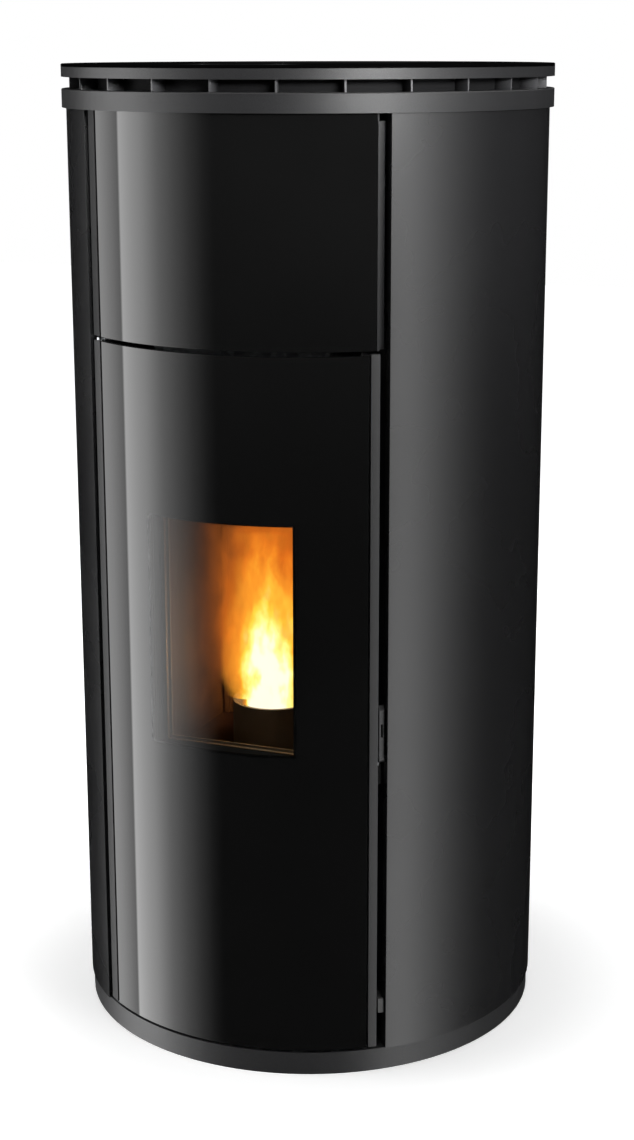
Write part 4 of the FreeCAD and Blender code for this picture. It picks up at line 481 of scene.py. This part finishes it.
def key_face(name, node, bars, ring):
    material, tree = new_material(name)
    low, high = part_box(node)
    place = add_node(tree, "TexCoord")["Object"]
    from_centre = add_node(tree, "VectorMath", {0: place, 1: (low + high) / 2}, operation="SUBTRACT")[0]
    distances = add_node(tree, "VectorMath", {0: from_centre}, operation="ABSOLUTE")[0]
    wide, deep, _ = add_node(tree, "SeparateXYZ", {0: distances})
    marks = []
    for half_width, half_depth in bars:
        in_width = add_node(tree, "Math", {0: wide, 1: half_width}, operation="LESS_THAN")[0]
        in_depth = add_node(tree, "Math", {0: deep, 1: half_depth}, operation="LESS_THAN")[0]
        marks.append(add_node(tree, "Math", {0: in_width, 1: in_depth}, operation="MULTIPLY")[0])
    if ring:
        flat = add_node(tree, "CombineXYZ", {0: wide, 1: deep})[0]
        reach = add_node(tree, "VectorMath", {0: flat}, operation="LENGTH")[1]
        marks.append(add_node(tree, "Math", {0: reach, 1: ring, 2: ring_half_width}, operation="COMPARE")[0])
    mark = marks[0]
    for other in marks[1:]:
        mark = add_node(tree, "Math", {0: mark, 1: other}, operation="MAXIMUM")[0]
    colour = add_node(tree, "Mix", {0: mark, 6: linear("#1b1b1c"), 7: linear("#c9c9c6")},
                      data_type="RGBA")[2]
    grain = add_node(tree, "TexNoise", {"Vector": place, "Scale": 1000 / key_grain_mm})["Fac"]
    bump = add_node(tree, "Bump", {"Strength": 0.2, "Distance": 0.0002, "Height": grain})[0]
    face = add_node(tree, "BsdfPrincipled", {"Base Color": colour, "Roughness": 0.45, "Normal": bump})[0]
    add_node(tree, "OutputMaterial", {"Surface": face})
    finish_nodes(material, [node])


key_face("power_key_face", "button_power", [(0.0003, 0.0012)], 0.0026)
key_face("plus_key_face", "button_plus", [(0.0028, 0.0004), (0.0004, 0.0028)], None)
key_face("minus_key_face", "button_minus", [(0.0028, 0.0004)], None)

# %% [markdown]
# The display is smoked acrylic over a dark grid of two-millimetre cells. Modelled cells would be lost at
# this size, so a brick texture with no offset draws them. The control board is green solder mask crossed
# by paler tracks about a centimetre apart; the edges of Voronoi cells make a net of such lines.

# %% Display and control board
display_cell_mm = 2.0
track_mm = 11.1
display, tree = new_material("smoked_acrylic_display")
place = add_node(tree, "TexCoord")["Object"]
cells = add_node(tree, "TexBrick", {
    "Vector": place, "Color1": linear("#0c0e10"), "Color2": linear("#0e1013"), "Mortar": linear("#060708"),
    "Scale": 1000 / display_cell_mm, "Mortar Size": 0.08, "Brick Width": 1.0, "Row Height": 1.0},
    offset=0.0)["Color"]
acrylic = add_node(tree, "BsdfPrincipled", {"Base Color": cells, "Roughness": 0.08, "IOR": 1.49})[0]
add_node(tree, "OutputMaterial", {"Surface": acrylic})
finish_nodes(display, ["display_window"])

board, tree = new_material("green_solder_mask")
place = add_node(tree, "TexCoord")["Object"]
tracks = add_node(tree, "TexVoronoi", {"Vector": place, "Scale": 1000 / track_mm},
                  feature="DISTANCE_TO_EDGE")["Distance"]
line = add_node(tree, "MapRange", {0: tracks, 1: 0.03, 2: 0.05, 3: 1.0, 4: 0.0})[0]
colour = add_node(tree, "Mix", {0: line, 6: linear("#0f4a26"), 7: linear("#2f7a46")}, data_type="RGBA")[2]
mask = add_node(tree, "BsdfPrincipled", {"Base Color": colour, "Roughness": 0.35})[0]
add_node(tree, "OutputMaterial", {"Surface": mask})
finish_nodes(board, ["control_board"])

# %% [markdown]
# The fire is what draws the eye. A flame has no surface, only a glowing thickness. A volume could show
# that, but it renders slowly and an exported model loses it, so the flame is drawn on three upright
# curved sheets in the pot. They are narrow where they stand in the pot and widen above its rim. The
# outline is written twice, for the mesh and for the nodes, so that the glow fades out before it reaches
# the mesh's edge.

# %% Outline of the flame sheets
pot_middle = -0.12
flame_foot = 0.405
flame_height = 0.24
flame_half_width = 0.104
foot_half_width = 0.040
foot_height = 0.0165
widening_height = 0.03
widening_power = 0.4
flame_turn = math.radians(15.0)
top_fade_height = 0.015
side_fade_share = 0.58
foot_fade_share = 0.75
foot_fade_end = 0.25


def sheet_half_width(up):
    widening = min(max((up - foot_height) / widening_height, 0.0), 1.0) ** widening_power
    return foot_half_width + (flame_half_width - foot_half_width) * widening


def sheet_edge(tree, across, up):
    widening = add_node(tree, "MapRange", {0: up, 1: foot_height, 2: foot_height + widening_height})[0]
    flare = add_node(tree, "Math", {0: widening, 1: widening_power}, operation="POWER")[0]
    half_width = add_node(tree, "MapRange", {0: flare, 3: foot_half_width, 4: flame_half_width})[0]
    off_axis = add_node(tree, "Math", {0: across}, operation="ABSOLUTE")[0]
    share = add_node(tree, "Math", {0: off_axis, 1: half_width}, operation="DIVIDE")[0]
    fade_start = add_node(tree, "MapRange", {0: widening, 2: foot_fade_end,
                                             3: foot_fade_share, 4: side_fade_share})[0]
    sides = add_node(tree, "MapRange", {0: share, 1: fade_start, 3: 1.0, 4: 0.0})[0]
    top = add_node(tree, "MapRange", {0: up, 1: flame_height - top_fade_height, 2: flame_height,
                                      3: 1.0, 4: 0.0})[0]
    return add_node(tree, "Math", {0: sides, 1: top}, operation="MULTIPLY")[0]


print("flame", flame_height, "m high,", 2 * foot_half_width, "to", 2 * flame_half_width, "m wide")

# %% [markdown]
# On each sheet the heat is highest along a swaying middle line and falls off to the sides and upwards.
# Noise, drawn out upwards, breaks it into soft tongues: the sway is some 50 mm wide, the tongues a third
# of that. A picture of a flame could do this too, but nodes stay sharp, and a seed gives each sheet its
# own tongues.

# %% Heat on a flame sheet
sway_mm = 50
tongue_mm = sway_mm / 3
drawn_out_scale = (1.0, 0.6, 0.45)
most_sway = 0.09
middle_shift = -0.005
reach_foot = 0.015
reach_top = 0.1
side_fall = -1.6
weak_tongue = 0.78
strong_tongue = 1.17


def flame_heat(tree, place, reach, heat, cooling, seed):
    moved = add_node(tree, "Mapping", {"Vector": place, "Location": (0.0, -pot_middle, -flame_foot)})[0]
    facing = add_node(tree, "Mapping", {"Vector": moved, "Rotation": (0, 0, -flame_turn)})[0]
    across, _, up = add_node(tree, "SeparateXYZ", {0: facing})
    drawn_out = add_node(tree, "Mapping", {"Vector": facing, "Location": (seed, seed * 2, 0.0),
                                           "Scale": drawn_out_scale})[0]
    slow = add_node(tree, "TexNoise", {"Vector": drawn_out, "Scale": 1000 / sway_mm})["Fac"]
    sway = add_node(tree, "MapRange", {0: slow, 1: noise_low, 2: noise_high, 3: -most_sway, 4: most_sway})[0]
    middle = add_node(tree, "Math", {0: sway, 1: up, 2: middle_shift}, operation="MULTIPLY_ADD")[0]
    off_middle = add_node(tree, "Math", {0: across, 1: middle}, operation="SUBTRACT")[0]
    half_reach = add_node(tree, "MapRange", {0: up, 1: reach_foot, 2: reach_top,
                                             3: reach[0], 4: reach[1]})[0]
    off = add_node(tree, "Math", {0: off_middle, 1: half_reach}, operation="DIVIDE")[0]
    square = add_node(tree, "Math", {0: off, 1: off}, operation="MULTIPLY")[0]
    fall = add_node(tree, "Math", {0: square, 1: side_fall}, operation="MULTIPLY")[0]
    total = add_node(tree, "Math", {0: fall}, operation="EXPONENT")[0]
    upward = add_node(tree, "MapRange", {0: up, 1: cooling[0], 2: cooling[1], 3: heat[0], 4: heat[1]})[0]
    quick = add_node(tree, "TexNoise", {"Vector": drawn_out, "Scale": 1000 / tongue_mm,
                                        "Detail": 4.0})["Fac"]
    ragged = add_node(tree, "MapRange", {0: quick, 1: noise_low, 2: noise_high,
                                         3: weak_tongue, 4: strong_tongue})[0]
    for factor in (upward, ragged, sheet_edge(tree, across, up)):
        total = add_node(tree, "Math", {0: total, 1: factor}, operation="MULTIPLY")[0]
    return total


print("sway", sway_mm, "mm, tongues", round(tongue_mm, 1), "mm")

# %% [markdown]
# The heat sets both the colour and the see-through. A black-body node could give the colour of glowing
# soot, but a flame also has smoke at its cool edge and is bleached in its middle. So a ramp runs from
# brown smoke through orange and yellow to white. The halo may be as cool as smoke, while the core stays
# hotter than orange.

# %% Glow of a flame sheet
most_solid = 0.95
flame_hues = [(0.0, "#7a4526"), (0.16, "#9a5426"), (0.3, "#bf6420"), (0.45, "#ec7924"),
              (0.56, "#fc932b"), (0.68, "#fcd54a"), (0.82, "#fefe9d"), (0.95, "#fffff4")]


def fill_ramp(ramp, stops):
    elements = ramp.elements
    while len(elements) > 1:
        elements.remove(elements[-1])
    elements[0].position, elements[0].color = stops[0]
    for position, colour in stops[1:]:
        elements.new(position).color = colour


def flame_glow(name, reach, heat, cooling, coolest_hue, seed, strength):
    material, tree = new_material(name)
    place = add_node(tree, "TexCoord")["Object"]
    hotness = flame_heat(tree, place, reach, heat, cooling, seed)
    hue = add_node(tree, "Math", {0: hotness, 1: coolest_hue}, operation="MAXIMUM")[0]
    colour = add_node(tree, "ValToRGB", {0: hue})[0]
    fill_ramp(colour.node.color_ramp, [(heat_here, linear(shade)) for heat_here, shade in flame_hues])
    glow = add_node(tree, "Emission", {"Color": colour, "Strength": strength})[0]
    clear = add_node(tree, "BsdfTransparent")[0]
    clear_heat = coolest_hue * 0.3
    solid_heat = coolest_hue * 0.95 + 0.25
    solid = add_node(tree, "MapRange", {0: hotness, 1: clear_heat, 2: solid_heat, 4: most_solid})[0]
    both = add_node(tree, "MixShader", {0: solid, 1: clear, 2: glow})[0]
    add_node(tree, "OutputMaterial", {"Surface": both})
    return material


core = flame_glow("flame_core_glow", reach=(0.061, 0.060), heat=(1.09, 0.25), cooling=(0.050, 0.20),
                  coolest_hue=0.6, seed=1.3, strength=1.7)
body = flame_glow("flame_body_glow", reach=(0.050, 0.069), heat=(0.95, 0.42), cooling=(0.08, 0.225),
                  coolest_hue=0.35, seed=4.7, strength=1.4)
halo = flame_glow("flame_halo_glow", reach=(0.070, 0.110), heat=(0.50, 0.34), cooling=(0.08, 0.23),
                  coolest_hue=0.0, seed=8.1, strength=1.3)
print("glows:", core.name, body.name, halo.name)

# %% [markdown]
# The three sheets stand one behind the other: a white core in front, a yellow body and a wide orange halo
# at the back. Each starts as a flat grid. Its points are then set row by row, because the outline and the
# backward bow follow a formula that edit-mode tools don't give.

# %% Flame sheets


def flame_sheet(name, depth, bow, material):
    bpy.ops.object.select_all(action="DESELECT")
    bpy.ops.mesh.primitive_grid_add(x_subdivisions=24, y_subdivisions=48, size=2.0)
    sheet = bpy.context.object
    sheet.name = name
    for vertex in sheet.data.vertices:
        up = (vertex.co.y + 1.0) / 2 * flame_height
        across = vertex.co.x * sheet_half_width(up)
        vertex.co = Vector((across, bow * (across / flame_half_width) ** 2 - depth, up))
    in_pot = Matrix.Translation((0, pot_middle, flame_foot))
    sheet.data.transform(in_pot @ Matrix.Rotation(flame_turn, 4, "Z"))
    sheet.data.materials.append(material)
    sheet.visible_shadow = False
    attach(sheet, "pot")
    print(name, len(sheet.data.polygons), "faces")


flame_sheet("flame_core", 0.016, 0.010, core)
flame_sheet("flame_body", 0.0, 0.014, body)
flame_sheet("flame_halo", -0.018, 0.016, halo)

# %% [markdown]
# Pellets are short rods of pressed sawdust, six millimetres thick, and in the pot they glow. They burn in
# patches of about a centimetre, from dull red to amber, so noise sets the glow; one even glow would look
# like plastic.

# %% Finish of the glowing pellets
ember_patch_mm = 11.1
ember, tree = new_material("glowing_pellets")
place = add_node(tree, "TexCoord")["Object"]
hot = add_node(tree, "TexNoise", {"Vector": place, "Scale": 1000 / ember_patch_mm, "Detail": 3.0})["Fac"]
patches = add_node(tree, "MapRange", {0: hot, 1: grain_low, 2: grain_high})[0]
glow_colour = add_node(tree, "Mix", {0: patches, 6: linear("#d8400a"), 7: linear("#ffb43a")},
                       data_type="RGBA")[2]
char = add_node(tree, "Mix", {0: hot, 6: linear("#2a1408"), 7: linear("#5a3018")}, data_type="RGBA")[2]
glowing = add_node(tree, "BsdfPrincipled", {"Base Color": char, "Roughness": 0.9,
                                            "Emission Color": glow_colour, "Emission Strength": 3.0})[0]
add_node(tree, "OutputMaterial", {"Surface": glowing})
print("finish", ember.name)

# %% [markdown]
# The heap could be dropped into the pot by a simulation, but little of it shows over the rim. So the
# places are drawn at random, from a fixed seed, in four layers, and each pellet gets its own turn and a
# slight tilt.

# %% Places of the pellets
heap_radius = 0.036
heap_foot = 0.372
layer_height = 0.006
layers = 4
pellets_per_layer = 24
most_tilt = 0.3
chance = random.Random(7)
spots = []
for layer in range(layers):
    for _ in range(pellets_per_layer):
        angle = chance.uniform(0, 2 * math.pi)
        reach = heap_radius * math.sqrt(chance.random())
        centre = (reach * math.sin(angle), pot_middle + reach * math.cos(angle),
                  heap_foot + layer_height * layer)
        turn = (Matrix.Rotation(chance.uniform(0, math.pi), 4, "Z")
                @ Matrix.Rotation(math.pi / 2 + chance.uniform(-most_tilt, most_tilt), 4, "X"))
        spots.append((centre, turn))
print(len(spots), "places for pellets")

# %% [markdown]
# One rod is modelled with bevelled edges, a copy of it goes to each place, and all copies are joined to
# one mesh. A new cylinder for each place would give the same heap, but the rod is then bevelled only
# once.

# %% Heap of pellets in the pot
pellet_length = 0.013
pellet_radius = 0.003
pellet_bevel = 0.0008
bpy.ops.object.select_all(action="DESELECT")
bpy.ops.mesh.primitive_cylinder_add(vertices=8, radius=pellet_radius, depth=pellet_length)
rod = bpy.context.object
bevel = rod.modifiers.new("round_ends", "BEVEL")
bevel.width = pellet_bevel
bevel.segments = 1
bevel.limit_method = "ANGLE"
bpy.ops.object.modifier_apply(modifier=bevel.name)
pellets = []
for centre, turn in spots:
    pellet = rod.copy()
    pellet.data = rod.data.copy()
    pellet.data.transform(Matrix.Translation(centre) @ turn)
    bpy.context.collection.objects.link(pellet)
    pellets.append(pellet)
bpy.data.objects.remove(rod)
for pellet in pellets:
    pellet.select_set(True)
bpy.context.view_layer.objects.active = pellets[0]
bpy.ops.object.join()
embers = bpy.context.object
embers.name = "embers"
embers.data.materials.append(ember)
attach(embers, "pot")
print("embers", len(embers.data.polygons), "faces")

# %% [markdown]
# The studio has a white floor that runs into a white background. More lamps would make them white too,
# but would wash out the stove. So both glow white only for rays that come from the camera or from a
# mirror. Round the stove the floor's glow is held back, which keeps its soft shadow.

# %% White floor
floor_size = 16.0
shadow_start = 0.33
shadow_end = 0.85
shadow_level = 0.38
floor_mottle_mm = 500


def seen_directly(tree):
    path = add_node(tree, "LightPath")
    mirrored = add_node(tree, "Math", {0: path["Is Glossy Ray"], 1: path["Is Transmission Ray"]},
                        operation="MAXIMUM")[0]
    return add_node(tree, "Math", {0: path["Is Camera Ray"], 1: mirrored}, operation="MAXIMUM")[0]


bpy.ops.object.select_all(action="DESELECT")
bpy.ops.mesh.primitive_plane_add(size=floor_size, location=(0, 0, 0))
floor = bpy.context.object
floor.name = "floor"
floor_white, tree = new_material("white_floor")
place = add_node(tree, "TexCoord")["Object"]
cloud = add_node(tree, "TexNoise", {"Vector": place, "Scale": 1000 / floor_mottle_mm})["Fac"]
mottle = add_node(tree, "Mix", {0: cloud, 6: linear("#f6f6f6"), 7: linear("#f9f9f9")}, data_type="RGBA")[2]
lit = add_node(tree, "BsdfDiffuse", {"Color": mottle})[0]
away = add_node(tree, "VectorMath", {0: place}, operation="LENGTH")[1]
level = add_node(tree, "MapRange", {0: away, 1: shadow_start, 2: shadow_end, 3: shadow_level, 4: 1.0})[0]
lift = add_node(tree, "Math", {0: level, 1: seen_directly(tree)}, operation="MULTIPLY")[0]
glow = add_node(tree, "Emission", {"Color": linear("#ffffff"), "Strength": lift})[0]
both = add_node(tree, "AddShader", {0: lit, 1: glow})[0]
add_node(tree, "OutputMaterial", {"Surface": both})
floor.data.materials.append(floor_white)
floor.visible_glossy = False
print("floor", floor_size, "m wide")

# %% [markdown]
# The background is the world itself. A backdrop could stand behind the stove, but it would end somewhere
# in the views from other sides. The world is white where it is seen and dim where it lights, so that the
# panels of the next step do the lighting.

# %% White background
room_light = 0.2
world = bpy.data.worlds.new("white_room")
bpy.context.scene.world = world
world.use_nodes = True
tree = world.node_tree
tree.nodes.clear()
room = add_node(tree, "Background", {"Color": linear("#ffffff"), "Strength": room_light})[0]
shown = add_node(tree, "Background", {"Color": linear("#ffffff"), "Strength": 1.0})[0]
both = add_node(tree, "MixShader", {0: seen_directly(tree), 1: room, 2: shown})[0]
add_node(tree, "OutputWorld", {"Surface": both})
print("world", world.name, "lights at", room_light)

# %% [markdown]
# A black gloss shows little but what it mirrors. Round the stove stands a curved dark wall with soft
# light panels on it: a broad one at the left, whose light fades towards the camera, and a narrow one at
# the right. Separate lamps would show hard ends in the glass, so the wall is one tube whose brightness is
# a list of angles and levels. Angles are in degrees from the front, positive to the right. The wall
# lights the stove and is mirrored in its glass, but the camera doesn't see it.

# %% Light wall
wall_radius = 3.2
wall_height = 7.0
wall_strength = 10.0
wall_levels = [(-180, 0.0), (-130, 0.0), (-95, 0.02), (-93, 2.3), (-86, 2.1), (-81.5, 1.9), (-77, 1.55),
               (-75.4, 1.45), (-75, 5.4), (-60, 3.9), (-50, 2.1), (-41, 1.15), (-33, 0.5), (-26, 0.12),
               (-21, 0.0), (54, 0.0), (56, 3.4), (66, 3.2), (78, 1.8), (89, 0.85), (102, 0.25), (115, 0.06),
               (150, 0.02), (178, 0.0)]
bpy.ops.object.select_all(action="DESELECT")
bpy.ops.mesh.primitive_cylinder_add(vertices=180, radius=wall_radius, depth=wall_height,
                                    end_fill_type="NOTHING")
wall = bpy.context.object
wall.name = "light_wall"
wall_light, tree = new_material("light_wall_panels")
place = add_node(tree, "TexCoord")["Object"]
across, along, _ = add_node(tree, "SeparateXYZ", {0: place})
forward = add_node(tree, "Math", {0: along, 1: -1.0}, operation="MULTIPLY")[0]
turn = add_node(tree, "Math", {0: across, 1: forward}, operation="ARCTAN2")[0]
share = add_node(tree, "MapRange", {0: turn, 1: -math.pi, 2: math.pi})[0]
level = add_node(tree, "ValToRGB", {0: share})[0]
fill_ramp(level.node.color_ramp, [((angle + 180) / 360, (light / wall_strength,) * 3 + (1.0,))
                                  for angle, light in wall_levels])
glow = add_node(tree, "Emission", {"Color": level, "Strength": wall_strength})[0]
add_node(tree, "OutputMaterial", {"Surface": glow})
wall.data.materials.append(wall_light)
wall.visible_camera = False
wall.visible_shadow = False
wall.visible_transmission = False
print("light wall with", len(wall_levels), "levels")

# %% [markdown]
# Three lamps add what the wall can't give. A disk overhead fills the top and casts the soft shadow on the
# floor. A long softbox at the right front, with a narrow spread, shines on the rings alone. A small warm
# lamp in the pot stands for the light of the fire; the flame sheets could light the firebox alone, but
# with grain.

# %% Lamps


def place_lamp(name, kind, energy, location, rotation=(0.0, 0.0, 0.0)):
    bpy.ops.object.light_add(type=kind, location=location, rotation=rotation)
    lamp = bpy.context.object
    lamp.name = name
    lamp.data.energy = energy
    lamp.visible_camera = False
    print(name, energy, "W")
    return lamp


overhead = place_lamp("overhead_softbox", "AREA", 60.0, (0.3, 0.2, 3.6))
overhead.data.shape = "DISK"
overhead.data.size = 2.6
crown_softbox = place_lamp("crown_softbox", "AREA", 2.9, (1.32, -1.15, 1.43), (1.408, 0.0, 0.855))
crown_softbox.data.shape = "RECTANGLE"
crown_softbox.data.size = 1.3
crown_softbox.data.size_y = 0.2
crown_softbox.data.spread = math.radians(36.0)
fire_glow = place_lamp("fire_glow", "POINT", 1.4, (0.0, -0.125, 0.47))
fire_glow.data.color = linear("#ffb977")[:3]
fire_glow.data.shadow_soft_size = 0.03
